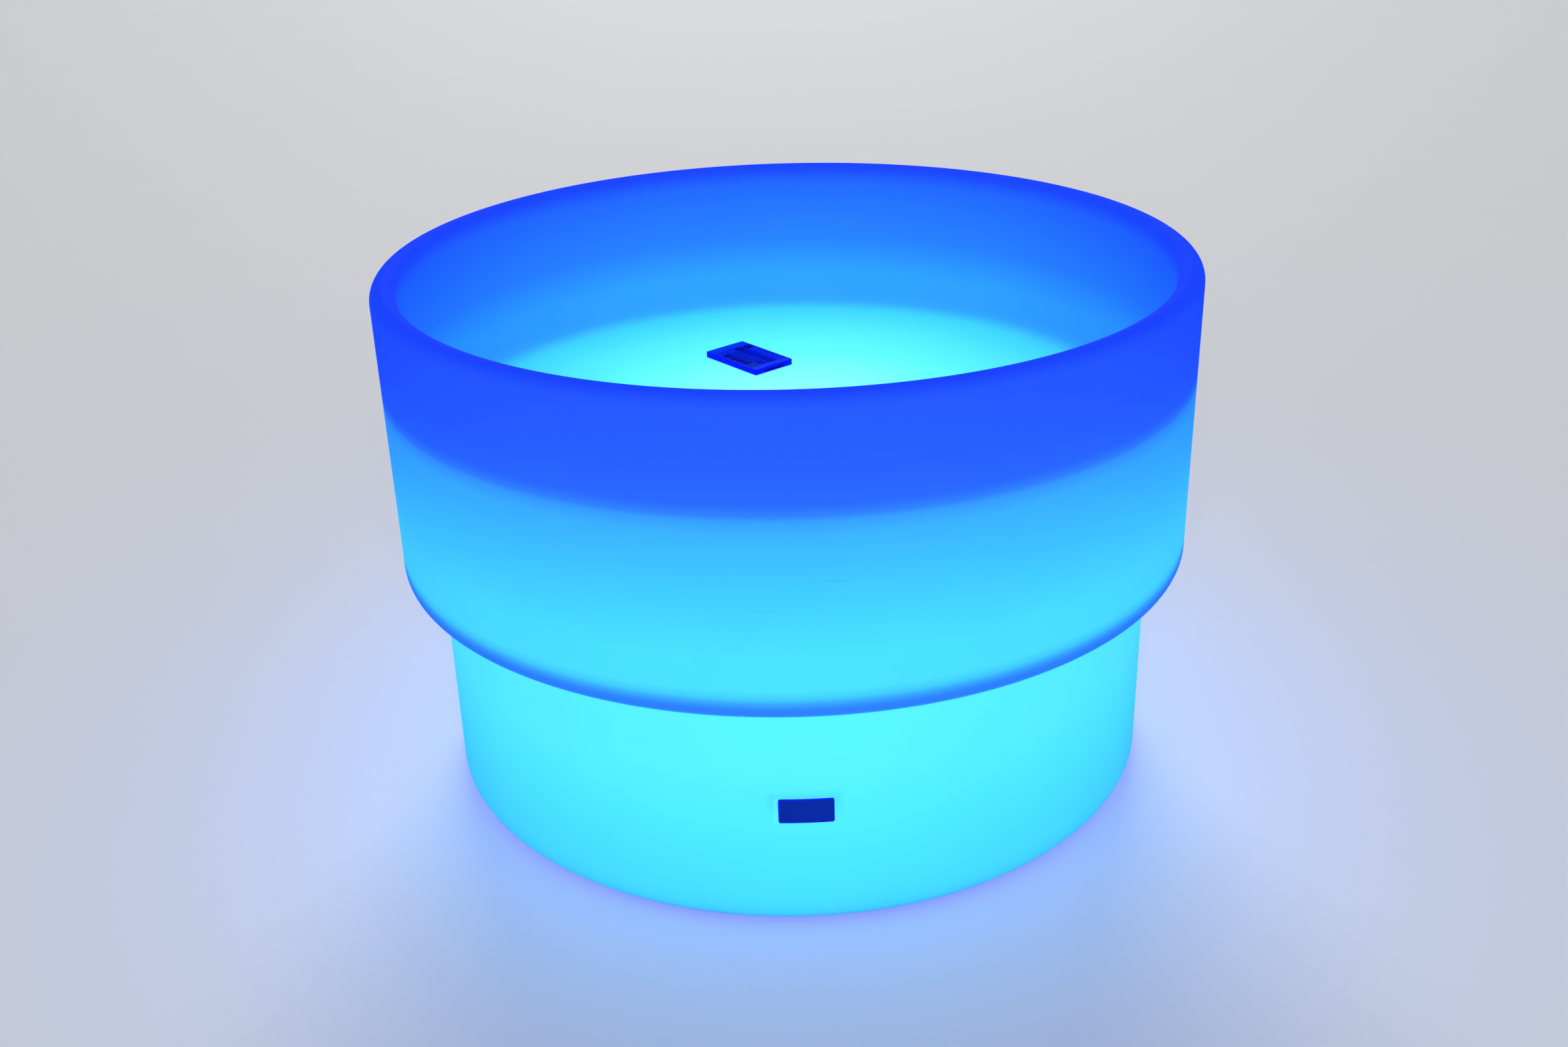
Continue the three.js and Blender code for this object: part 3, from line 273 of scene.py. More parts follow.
class Wires:
    """Adds shader nodes to one tree, with plain values or other nodes' outputs as inputs."""

    STEP_X = 180
    STEP_Y = 220
    PER_COLUMN = 4
    MIX_INPUTS = (0, 6, 7)
    MIX_OUTPUT = 2

    def __init__(self, tree):
        self.tree = tree

    def node(self, kind, inputs=None, **options):
        made = self.tree.nodes.new(kind)
        column, row = divmod(len(self.tree.nodes), self.PER_COLUMN)
        made.location = (self.STEP_X * column, -self.STEP_Y * row)
        for name, value in options.items():
            setattr(made, name, value)
        for key, value in (inputs or {}).items():
            self.feed(made.inputs[key], value)
        return made

    def feed(self, socket, value):
        if isinstance(value, bpy.types.NodeSocket):
            self.tree.links.new(value, socket)
        elif socket.type == "RGBA" and len(value) == 3:
            socket.default_value = (*value, 1)
        else:
            socket.default_value = value

    def math(self, operation, *values):
        return self.node("ShaderNodeMath", dict(enumerate(values)), operation=operation).outputs[0]

    def reach(self, x, y):
        """How far (x, y) lies from the origin."""
        squares = [self.math("MULTIPLY", side, side) for side in (x, y)]
        return self.math("SQRT", self.math("ADD", *squares))

    def off(self, value, middle):
        """How far a value lies to either side of a middle."""
        return self.math("ABSOLUTE", self.math("SUBTRACT", value, middle))

    def beyond(self, value, limit):
        """How far a value goes past a limit, and 0 short of it."""
        return self.math("MAXIMUM", self.math("SUBTRACT", value, limit), 0)

    def span(self, value, low, high, smooth=False, ends=(0, 1)):
        """Goes from one end to the other between low and high, and is held outside them."""
        inputs = {"Value": value, "From Min": low, "From Max": high,
                  "To Min": ends[0], "To Max": ends[1]}
        kind = "SMOOTHSTEP" if smooth else "LINEAR"
        return self.node("ShaderNodeMapRange", inputs, interpolation_type=kind).outputs["Result"]

    def mix(self, factor, first, second, blend="MIX"):
        made = self.node("ShaderNodeMix", data_type="RGBA", blend_type=blend)
        for key, value in zip(self.MIX_INPUTS, (factor, first, second)):
            self.feed(made.inputs[key], value)
        return made.outputs[self.MIX_OUTPUT]

    def times(self, shade, factors):
        return self.mix(1, shade, factors, "MULTIPLY")

    def marked(self, shade, mask, mark, depth):
        """A colour that turns to that of a mark, at most to the given depth."""
        return self.mix(self.math("MULTIPLY", mask, depth), shade, mark)

    def ramp(self, value, stops):
        """A colour ramp through (place, colour) stops."""
        made = self.node("ShaderNodeValToRGB", {"Fac": value})
        elements = made.color_ramp.elements
        while len(elements) < len(stops):
            elements.new(1)
        for element, (place, shade) in zip(elements, stops):
            element.position = place
            element.color = (*shade, 1)
        return made.outputs["Color"]

    def scaled(self, vector, scale, turn=(0, 0, 0)):
        inputs = {"Vector": vector, "Rotation": turn, "Scale": scale}
        return self.node("ShaderNodeMapping", inputs).outputs[0]

    def xyz(self, vector):
        return self.node("ShaderNodeSeparateXYZ", {0: vector}).outputs[:]

    def noise(self, vector, scale, detail=2, roughness=0.5):
        inputs = {"Vector": vector, "Scale": scale, "Detail": detail, "Roughness": roughness}
        return self.node("ShaderNodeTexNoise", inputs).outputs["Fac"]


SOCKET_KINDS = {1: "NodeSocketFloat", 3: "NodeSocketVector", 4: "NodeSocketColor"}


def effect_group(name, output, size, wire, **inputs):
    """A shared node group, built once, whose inputs have these defaults. wire makes its one
    output, a value or a colour, from them."""
    if name in bpy.data.node_groups:
        return bpy.data.node_groups[name]
    tree = bpy.data.node_groups.new(name, "ShaderNodeTree")
    for label, default in {"Place": (0, 0, 0), **inputs}.items():
        kind = SOCKET_KINDS[len(default) if isinstance(default, tuple) else 1]
        socket = tree.interface.new_socket(label, in_out="INPUT", socket_type=kind)
        socket.default_value = default
    tree.interface.new_socket(output, in_out="OUTPUT", socket_type=SOCKET_KINDS[size])
    wires = Wires(tree)
    given = wires.node("NodeGroupInput").outputs
    sink = wires.node("NodeGroupOutput")
    wires.feed(sink.inputs[output], wire(wires, given["Place"], given))
    return tree


def mottle_group():
    """Soft cloudy change in a colour's brightness, as moulded plastic has."""
    def wire(wires, place, given):
        cloud = wires.math("SUBTRACT", wires.noise(place, given["Scale"], detail=3), 0.5)
        level = wires.math("MULTIPLY_ADD", cloud, given["Amount"], 1)
        shade = wires.node("ShaderNodeCombineXYZ", dict(enumerate(grey(level)))).outputs[0]
        return wires.times(given["Color"], shade)
    return effect_group("Mottle", "Color", 4, wire, Color=(1, 1, 1, 1), Scale=20, Amount=0.1)


def grain_group():
    """Height of a fine pebbled surface over a slow waviness."""
    slowness = 0.06

    def wire(wires, place, given):
        fine = wires.noise(place, given["Scale"], detail=4, roughness=0.6)
        slow = wires.noise(place, wires.math("MULTIPLY", given["Scale"], slowness))
        return wires.math("MULTIPLY_ADD", slow, given["Wave"], fine)
    return effect_group("Moulded Grain", "Height", 1, wire, Scale=900, Wave=1)


def speck_group():
    """Mask of a few small specks: one cell in many holds a round spot."""
    def wire(wires, place, given):
        inputs = {"Vector": place, "Scale": given["Scale"]}
        cells = wires.node("ShaderNodeTexVoronoi", inputs).outputs
        spot = wires.span(cells["Distance"], given["Size"], 0)
        chosen = wires.math("LESS_THAN", wires.xyz(cells["Color"])[0], given["Share"])
        return wires.math("MULTIPLY", spot, chosen)
    return effect_group("Specks", "Mask", 1, wire, Scale=30, Size=0.03, Share=0.1)


def scratch_group():
    """Mask of a few hair-thin scratches, long across and thin upwards, in scattered patches."""
    tilt, thinness = (0.12, 0.2, 0), (1, 1, 45)
    line_start, line_full = 0.74, 0.78
    patch_start, patch_full = 0.5, 0.65
    slowness = 0.3

    def wire(wires, place, given):
        lines = wires.noise(wires.scaled(place, thinness, tilt), given["Scale"], detail=1)
        cloud = wires.noise(place, wires.math("MULTIPLY", given["Scale"], slowness))
        return wires.math("MULTIPLY", wires.span(lines, line_start, line_full),
                          wires.span(cloud, patch_start, patch_full))
    return effect_group("Scratches", "Mask", 1, wire, Scale=14)


class Finish(Wires):
    """A new material with its shader, whose plain values are set on its own sockets."""

    def __init__(self, name, shade, roughness, metallic=0, specular=0.5):
        self.material = bpy.data.materials.new(name)
        self.material.use_nodes = True
        self.material.diffuse_color = (*shade, 1)
        super().__init__(self.material.node_tree)
        for socket, value in (("Base Color", shade), ("Roughness", roughness),
                              ("Metallic", metallic), ("Specular IOR Level", specular)):
            self.give(socket, value)
        coords = self.node("ShaderNodeTexCoord").outputs
        self.place = coords["Object"]
        self.facing = coords["Normal"]

    def give(self, socket, value):
        self.feed(self.tree.nodes["Principled BSDF"].inputs[socket], value)

    def glow(self, light, strength=1):
        """Lets the surface give out light of its own."""
        self.give("Emission Color", light)
        self.give("Emission Strength", strength)

    def effect(self, group, **inputs):
        """The output of a shared group all over the surface."""
        inputs["Place"] = self.place
        return self.node("ShaderNodeGroup", inputs, node_tree=group).outputs[0]

    def mottled(self, shade, scale, amount):
        return self.effect(mottle_group(), Color=shade, Scale=scale, Amount=amount)

    def raised(self, height, depth):
        inputs = {"Height": height, "Distance": depth, "Strength": 1}
        self.give("Normal", self.node("ShaderNodeBump", inputs).outputs["Normal"])

    def pebbled(self, scale, wave, depth):
        self.raised(self.effect(grain_group(), Scale=scale, Wave=wave), depth)


def plastic(name, shade, roughness, grain, specular=0.4):
    """Moulded plastic: slightly cloudy colour, pebbled surface and uneven gloss."""
    made = Finish(name, shade, roughness, specular=specular)
    made.give("Base Color", made.mottled(shade, scale=60, amount=0.06))
    gloss = made.noise(made.place, scale=140, detail=3)
    made.give("Roughness", made.span(gloss, 0, 1, ends=(roughness - 0.1, roughness + 0.1)))
    made.pebbled(grain, wave=0.5, depth=0.02 * MM)
    return made


def rubber(name, shade, grain):
    """Dusty matt rubber: paler dust gathers in its slow cloudy patches."""
    made = Finish(name, shade, 0.85, specular=0.3)
    cloud = made.noise(made.place, scale=90, detail=5, roughness=0.65)
    dust = made.span(cloud, 0.5, 0.8, smooth=True)
    dusty = between(shade, linear("8C8E92"), 0.5)
    made.give("Base Color", made.marked(shade, dust, dusty, depth=0.5))
    made.give("Roughness", made.math("MULTIPLY_ADD", dust, 0.1, 0.8))
    made.pebbled(grain, wave=0.3, depth=0.05 * MM)
    return made


def metal(name, shade, roughness, scale, stretch=(1, 1, 1), depth=0.01 * MM):
    """Bright metal with drawn streaks and dull smudges."""
    made = Finish(name, shade, roughness, metallic=1)
    streak = made.noise(made.scaled(made.place, stretch), scale, detail=3)
    made.give("Base Color", made.mottled(shade, scale=80, amount=0.25))
    made.give("Roughness", made.math("MULTIPLY_ADD", streak, 0.25, roughness - 0.1))
    made.raised(streak, depth)
    return made


# Mesh building

def linked(name, data):
    made = bpy.data.objects.new(name, data)
    bpy.context.scene.collection.objects.link(made)
    return made


def smooth(mesh):
    """Smooth shading, apart from sharp edges."""
    mesh.shade_smooth()
    mesh.set_sharp_from_angle(angle=SHARP_ANGLE)


def dress(node, finish):
    """Gives a node of the frame a new finish."""
    for place in frame["nodes"][node].material_slots:
        place.material = finish.material


def mesh_of(work):
    """A mesh from a bmesh, with merged corners and faces pointing out."""
    bmesh.ops.remove_doubles(work, verts=work.verts, dist=MERGED)
    bmesh.ops.recalc_face_normals(work, faces=work.faces)
    mesh = bpy.data.meshes.new("shape")
    work.to_mesh(mesh)
    work.free()
    return mesh


def final_mesh(holder):
    """The mesh that an object has with its modifiers."""
    graph = bpy.context.evaluated_depsgraph_get()
    return bpy.data.meshes.new_from_object(holder.evaluated_get(graph))


def arc(centre, radius, start, end, steps):
    """Points of (radius, height) on an arc, with angles in degrees."""
    turns = [math.radians(start + (end - start) * i / steps) for i in range(steps + 1)]
    return [(centre[0] + radius * math.cos(turn), centre[1] + radius * math.sin(turn))
            for turn in turns]


def strip(work, first, second):
    """Quads between two closed rings with as many corners, or a fan where one is a single point."""
    count = max(len(first), len(second))
    for i in range(count):
        j = (i + 1) % count
        corners = [first[i % len(first)], first[j % len(first)],
                   second[j % len(second)], second[i % len(second)]]
        face = list(dict.fromkeys(corners))
        if len(face) > 2:
            work.faces.new(face)


def skin(rings, closes=False):
    """A closed body over rings of points. It closes on itself, or ends in flat caps or points."""
    work = bmesh.new()
    rows = [[work.verts.new(point) for point in ring] for ring in rings]
    for first, second in zip(rows, rows[1:] + rows[:1] if closes else rows[1:]):
        strip(work, first, second)
    for end in () if closes else (rows[0], rows[-1]):
        if len(end) > 2:
            work.faces.new(end)
    return mesh_of(work)


def turned(profile, sides, spot=(0, 0)):
    """A closed body turned about a vertical axis. The profile of (radius, height) starts and
    ends on the axis, or is a ring that closes on itself."""
    turns = [math.tau * i / sides for i in range(sides)]
    rings = [[(spot[0] + radius * math.cos(turn), spot[1] + radius * math.sin(turn), height)
              for turn in (turns if radius > 0 else [0])] for radius, height in profile]
    return skin(rings, closes=profile[0][0] > 0)


def rectangle(left, right, low, high):
    return [(left, low), (right, low), (right, high), (left, high)]


def rod(radius, low, high, spot, sides=48):
    return turned(rectangle(0, radius, low, high), sides, spot)


def prism(outline, low, high):
    return skin([[(x, y, z) for x, y in outline] for z in (low, high)])


def rounded_outline(size_x, size_y, corner, steps):
    """Corners of a rounded rectangle about the origin, anticlockwise."""
    reach = (size_x / 2 - corner, size_y / 2 - corner)
    points = []
    for i, (side_x, side_y) in enumerate([(1, -1), (1, 1), (-1, 1), (-1, -1)]):
        centre = (side_x * reach[0], side_y * reach[1])
        points += arc(centre, corner, 90 * (i - 1), 90 * i, steps)
    return points


def rounded_prism(size, corner, profile, spot=(0, 0), steps=5):
    """A closed body swept round a rounded rectangle. The profile gives (inset, height) from the
    first cap to the last one."""
    least = 0.02 * MM
    rings = []
    for inset, height in profile:
        outline = rounded_outline(size[0] - 2 * inset, size[1] - 2 * inset,
                                  max(corner - inset, least), steps)
        rings.append([(spot[0] + x, spot[1] + y, height) for x, y in outline])
    return skin(rings)


def carve(target, shapes, operation):
    """Applies an exact boolean of each mesh to the target, and keeps its materials."""
    for shape in shapes:
        cutter = linked("cutter", shape)
        step = target.modifiers.new("Carve", "BOOLEAN")
        step.operation = operation
        step.solver = "EXACT"
        step.object = cutter
        old, target.data = target.data, final_mesh(target)
        target.modifiers.clear()
        bpy.data.meshes.remove(old)
        bpy.data.objects.remove(cutter)


def build(node, slot, name, mesh, *finishes, body="table", adds=(), cuts=(), place=Matrix()):
    """A finished piece, put in its place. It rides on its body and stands for its node."""
    for finish in finishes:
        mesh.materials.append(finish.material)
    piece = linked(name, mesh)
    smooth(piece.data)
    carve(piece, adds, "UNION")
    carve(piece, cuts, "DIFFERENCE")
    smooth(piece.data)
    piece.data.transform(place)
    piece.modifiers.new("Even shading", "WEIGHTED_NORMAL").keep_sharp = True
    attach(piece, body)
    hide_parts(node)
    return piece


def fillet_run(inset, height, edge, way=1, steps=4):
    """Profile points of a rounded edge that turns from a side wall onto a flat face. way is 1
    for an upper face and -1 for a lower one."""
    turns = [math.pi / 2 * i / steps for i in range(steps + 1)]
    return [(inset + edge * (1 - math.cos(a)), height - way * edge * (1 - math.sin(a)))
            for a in turns]


# Moulded body

def body_profile(size):
    """The body's closed section from the bowl's centre round to its cavity's centre."""
    lip_z = size.height - size.rim_width / 2
    bowl_z = size.height - size.bowl_depth
    under_z = size.height - size.drum_height
    panel_z = size.base_z + size.base_recess
    ledge_z = panel_z + size.pocket_depth

    def lean(radius, z, top=lip_z):
        return radius - size.draft * (top - z)

    fillet_z = bowl_z + size.bowl_fillet
    fillet = (lean(size.rim_radius - size.rim_width, fillet_z) - size.bowl_fillet, fillet_z)
    lip = (size.rim_radius - size.rim_width / 2, lip_z)
    corner_z = under_z + size.drum_corner
    corner = (lean(size.rim_radius, corner_z) - size.drum_corner, corner_z)
    step_z = under_z - size.step_fillet
    step = (lean(size.plinth_radius, step_z, under_z) + size.step_fillet, step_z)
    foot_z = size.base_z + size.foot_corner
    foot = (lean(size.plinth_radius, foot_z, under_z) - size.foot_corner, foot_z)
    wall = size.wall
    slope = size.base_ring - size.ring_slope
    boss = size.pocket_radius + wall
    outside = [
        (0, bowl_z), (fillet[0] / 2, bowl_z),
        *arc(fillet, size.bowl_fillet, -90, 0, steps=14),
        *arc(lip, size.rim_width / 2, 180, 0, steps=24),
        *arc(corner, size.drum_corner, 0, -90, steps=10),
        *arc(step, size.step_fillet, 90, 180, steps=8),
        *arc(foot, size.foot_corner, 0, -90, steps=12),
        (size.base_ring, size.base_z), (slope, panel_z), (size.pocket_radius, panel_z),
        (size.pocket_radius, ledge_z), (size.opening_radius, ledge_z),
    ]
    inside = [
        (size.opening_radius, ledge_z + size.boss), (boss, ledge_z + size.boss),
        (boss, panel_z + wall), (slope, panel_z + wall), (size.base_ring, size.base_z + wall),
        *arc(foot, size.foot_corner - wall, -90, 0, steps=5),
        *arc(step, size.step_fillet + wall, 180, 90, steps=4),
        *arc(corner, size.drum_corner - wall, -90, 0, steps=4),
        *arc(lip, size.rim_width / 2 - wall, 0, 180, steps=8),
        *arc(fillet, size.bowl_fillet + wall, 0, -90, steps=6),
        (0, bowl_z - wall),
    ]
    return outside + inside


def joined(runs, whole):
    """Colour stops of several runs, each between two places on a way of the given length."""
    return [((low + (high - low) * place) / whole, shade)
            for low, high, stops in runs for place, shade in stops]


def outer_stops(size, glow):
    """Colour stops of the outside over the height."""
    under_z = size.height - size.drum_height
    runs = [
        (0, under_z, [(0.01, glow.under), (0.045, glow.foot), (0.14, glow.plinth_low),
                      (0.45, glow.plinth_mid), (0.7, glow.plinth_high),
                      (0.985, glow.plinth_high)]),
        (under_z, glow.border_z, [
            (0, between(glow.ledge, glow.drum_mid, 0.7)), (0.035, glow.ledge), (0.06, glow.ledge),
            (0.09, between(glow.ledge, glow.drum_mid, 0.4)), (0.118, glow.drum_mid),
            (0.16, glow.drum_low), (0.33, glow.drum_low), (0.63, glow.drum_mid),
            (0.93, glow.drum_high)]),
        (glow.border_z, size.height, [
            (0, between(glow.drum_high, glow.border, 0.5)), (0.04, glow.border),
            (0.13, glow.band_low), (0.4, between(glow.band_low, glow.band_high, 0.6)),
            (0.88, glow.band_high), (1, glow.lip)]),
    ]
    return joined(runs, size.height)


def bowl_stops(glow, floor, fillet, wall):
    """Colour stops along the bowl: its floor, its fillet and its wall up to the lip's crest."""
    shadow = between(glow.wall_low, glow.floor_edge, 0.08)
    wall_start = floor + fillet
    whole = wall_start + wall
    runs = [
        (0, floor, [(0, glow.floor_hot), (0.15, glow.floor_hot), (0.59, glow.floor_mid),
                    (0.8, between(glow.floor_mid, glow.floor_edge, 0.45)),
                    (1, glow.floor_edge)]),
        (floor, wall_start, [(0.18, between(glow.floor_edge, glow.wall_low, 0.4)),
                             (0.38, shadow), (0.7, shadow)]),
        (wall_start, whole, [(0, glow.wall_low), (0.32, glow.wall_mid), (0.84, glow.wall_high),
                             (0.96, glow.lip), (1, glow.lip)]),
    ]
    return joined(runs, whole)


def glow_material(size, glow, plate):
    """Milky plastic lit from inside: the colour follows the height outside and the path from
    the floor's centre to the lip inside the bowl."""
    made = Finish("Glowing moulded plastic", glow.drum_mid, 0.9, specular=0.003)
    x, y, z = made.xyz(made.place)
    radius = made.reach(x, y)
    outside = made.ramp(made.math("DIVIDE", z, size.height), outer_stops(size, glow))
    fillet_z = size.height - size.bowl_depth + size.bowl_fillet
    floor_end = size.rim_radius - size.rim_width - size.bowl_fillet
    fillet_length = size.bowl_fillet * math.pi / 2
    wall_length = size.height - fillet_z
    turn = made.math("ARCTAN2", made.beyond(radius, floor_end), made.beyond(fillet_z, z))
    path = made.math("MINIMUM", radius, floor_end)
    path = made.math("MULTIPLY_ADD", turn, size.bowl_fillet, path)
    path = made.math("ADD", path, made.beyond(z, fillet_z))
    inside = made.ramp(made.math("DIVIDE", path, floor_end + fillet_length + wall_length),
                       bowl_stops(glow, floor_end, fillet_length, wall_length))
    below_bowl = size.height - 0.8 * size.drum_height
    in_bowl = made.math("MULTIPLY", made.math("GREATER_THAN", z, below_bowl),
                        made.math("LESS_THAN", radius, size.rim_radius - size.rim_width / 2))
    shade = plate_seat(made, made.mix(in_bowl, outside, inside), (x, y, z), plate)
    shade = made.mottled(shade, scale=9, amount=0.07)
    specks = made.effect(speck_group(), Scale=22, Size=0.028, Share=0.08)
    shade = made.marked(shade, specks, glow.lip, depth=0.55)
    scratches = made.effect(scratch_group(), Scale=14)
    shade = made.marked(shade, scratches, glow.border, depth=0.22)
    wall_start = floor_end + 0.7 * fillet_length
    on_drum = made.span(z, size.height - size.drum_height, glow.border_z, smooth=True)
    on_wall = made.span(path, floor_end, wall_start, smooth=True)
    outer = made.mix(on_drum, grey(glow.given_plinth), grey(glow.given_drum))
    inner = made.mix(on_wall, grey(glow.given_floor), grey(glow.given_wall))
    given = made.mix(in_bowl, outer, inner)
    all_blue = made.mix(1, given, (0, 0, 1), "ADD")
    made.glow(made.times(shade, all_blue))
    # Painted light: the glow's colours are also painted into the base colour, so the glow, its dark
    # band and the bright bowl floor show as colour under any lamp.
    kept = made.mix(1, grey(1), given, "SUBTRACT")
    kept_in_bowl = made.mix(on_wall, grey(glow.given_floor), kept)
    made.give("Base Color", made.times(shade, made.mix(in_bowl, kept, kept_in_bowl)))
    made.pebbled(scale=1400, wave=2, depth=0.03 * MM)
    return made


def plate_seat(made, shade, xyz, plate):
    """The plate's seat: a little wider than the plate on its left, with a soft shade above it."""
    x, y, z = xyz
    middle = box_middle("label_plate")
    left = middle.x - plate.width / 2 - plate.seat_left
    right = middle.x + plate.width / 2 + plate.seat_edge
    low = middle.z - plate.height / 2 - plate.seat_edge
    high = middle.z + plate.height / 2
    out_x = made.beyond(made.off(x, (left + right) / 2), (right - left) / 2)
    out_z = made.beyond(made.off(z, (low + high) / 2), (high - low) / 2)
    away = made.reach(out_x, out_z)
    front = made.math("LESS_THAN", y, 0)
    inside = made.math("MULTIPLY", made.span(away, plate.seat_edge, 0, smooth=True), front)
    soft = made.span(away, plate.seat_shade, plate.seat_edge, smooth=True)
    upper = made.math("MULTIPLY", soft, made.span(z, low, high, smooth=True))
    shaded = made.math("MULTIPLY", upper, front)
    shade = made.marked(shade, shaded, plate.shade, depth=0.34)
    return made.marked(shade, inside, plate.seat, depth=0.3)


class BOWLTABLE_OT_body(bpy.types.Operator):
    """Build the hollow moulded body with its glow"""
    bl_idname = "bowl_table.body"
    bl_label = "Moulded body"

    def execute(self, context):
        table = settings()
        size = table.body
        finish = glow_material(size, table.glow, table.plate)
        gap, shank = 0.5 * MM, 2.3 * MM
        panel_z = size.base_z + size.base_recess
        cutters = []
        for node in PAD_NODES:
            width = box_size(node)
            cutters.append(rod(width.x / 2 + gap, -gap, width.z + gap, box_middle(node)))
        for node in FLANGE_SCREWS:
            top = heights(node)[1]
            hole = [(0, panel_z), (shank, panel_z), (shank, top + shank), (0, top + 1.5 * shank)]
            cutters.append(turned(hole, 24, box_middle(node)))
        mesh = turned(body_profile(size), size.sides)
        build("tub_shell", "glow_shell", "glow_body", mesh, finish, cuts=cutters)
        return {"FINISHED"}


# Plate on the lower drum

def plate_material(plate):
    """Dark enamel with a bright line along its edge. A little of its blue is painted in as light of
    its own, standing in for the table's glow on it.
    """
    # Painted light: the plate is no lamp; this share of its colour stands in for the table's blue
    # glow on it.
    given = (0.1, 0.15, 0.55)
    made = Finish("Bare plate", plate.face, 0.42, specular=0.06)
    x, _, z = made.xyz(made.place)
    middle = box_middle("label_plate")
    in_x = made.math("SUBTRACT", plate.width / 2, made.off(x, middle.x))
    in_z = made.math("SUBTRACT", plate.height / 2, made.off(z, middle.z))
    border = made.span(made.math("MINIMUM", in_x, in_z), plate.border, plate.border / 2)
    shade = made.mix(border, made.mottled(plate.face, scale=55, amount=0.35), plate.edge)
    made.give("Base Color", shade)
    made.glow(made.times(shade, given))
    made.pebbled(scale=1800, wave=0.5, depth=0.01 * MM)
    return made


class BOWLTABLE_OT_plate(bpy.types.Operator):
    """Build the bare plate that is bent round the lower drum"""
    bl_idname = "bowl_table.plate"
    bl_label = "Bare plate"

    def execute(self, context):
        plate = settings().plate
        edge, step, columns = 0.3 * MM, 0.1 * MM, 24
        top = plate.thickness
        profile = [(0, 0), (0, top - edge), *fillet_run(0, top, edge)[1:],
                   (plate.border, top), (plate.border + step, top - step)]
        work = bmesh.new()
        work.from_mesh(rounded_prism((plate.width, plate.height), plate.corner, profile, steps=6))
        for i in range(1, columns):
            cut_x = plate.width * (i / columns - 0.5)
            bmesh.ops.bisect_plane(work, geom=work.verts[:] + work.edges[:] + work.faces[:],
                                   plane_co=(cut_x, 0, 0), plane_no=(1, 0, 0))
        middle = box_middle("label_plate")
        front = -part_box("label_plate")[0].y
        lean = math.asin(middle.x / front)
        for corner in work.verts:
            across, up, out = corner.co
            turn = lean + across / front
            radius = front - top + out
            corner.co = (radius * math.sin(turn), -radius * math.cos(turn), middle.z + up)
        build("label_plate", "blue_plate", "plate", mesh_of(work), plate_material(plate))
        return {"FINISHED"}


# Feet

def foot_profile(radius, height):
    """A pad with a hollow middle and two ring grooves in its foot, and a rounded edge."""
    groove, dent, edge = 0.5 * MM, 0.8 * MM, 1.2 * MM
    points = [(0, dent), (0.24 * radius, dent), (0.29 * radius, 0)]
    for inner in (0.45, 0.70):
        points += [(inner * radius, 0), ((inner + 0.03) * radius, groove),
                   ((inner + 0.08) * radius, groove), ((inner + 0.11) * radius, 0)]
    points += arc((radius - edge, edge), edge, -90, 0, steps=5)
    points += arc((radius - groove, height - groove), groove, 0, 90, steps=3)
    return points + [(0, height)]


class BOWLTABLE_OT_feet(bpy.types.Operator):
    """Build the grooved rubber foot pads"""
    bl_idname = "bowl_table.feet"
    bl_label = "Foot pads"

    def execute(self, context):
        finish = rubber("Foot rubber", settings().under.rubber, grain=700)
        for node in PAD_NODES:
            width = box_size(node)
            mesh = turned(foot_profile(width.x / 2, width.z), 72, box_middle(node))
            build(node, "black_rubber", node.replace("foot_pad", "grooved_pad"), mesh, finish)
        return {"FINISHED"}


# Light unit in the base

UNIT_Z, UNIT_TOP_Z = heights("light_housing")
HOUSING_RADIUS = box_size("dome_seal").x / 2
HOUSING_WALL = 2.5 * MM
HOUSING_BORE = HOUSING_RADIUS - HOUSING_WALL
HOUSING_FLOOR_Z = UNIT_Z + 3 * MM
FLANGE_RADIUS = box_size("light_housing").x / 2
FLANGE_TOP_Z = UNIT_Z + 5 * MM
SINK_SEAT_WIDTH = 3 * MM
SINK_SEAT_DEPTH = 9 * MM
POST_RADIUS = 3 * MM
POST_TOP_Z = HOUSING_FLOOR_Z + 6 * MM
POST_INSET = 5 * MM
FLANGE_SCREW_SHANK = 2 * MM
BRACKET_SCREW_SHANK = 1.2 * MM
BUTTON_HOLE = 6.5 * MM
SOCKET_HOLE = 5.8 * MM
SIGN_RADIUS = 2.6 * MM
SIGN_WIDTH = 0.7 * MM
SIGN_OFFSET = 15 * MM
SIDE_GAP = 0.3 * MM
ENGRAVED = 0.35 * MM


def power_sign(spot, radius, width, low, high):
    """Cutters of the usual power sign: an open ring with a bar in its gap."""
    start, end = 125, 415
    ring = (arc(spot, radius + width / 2, start, end, steps=20)
            + arc(spot, radius - width / 2, end, start, steps=20))
    bar = rectangle(spot[0] - width / 2, spot[0] + width / 2,
                    spot[1] + 0.2 * radius, spot[1] + 1.3 * radius)
    return [prism(ring, low, high), prism(bar, low, high)]


def socket_sign(spot, radius, width, low, high):
    """Cutters of the usual round socket sign: a ring with a dot in it."""
    ring = rectangle(radius - width / 2, radius + width / 2, low, high)
    return [turned(ring, 32, spot), rod(width, low, high, spot, 20)]


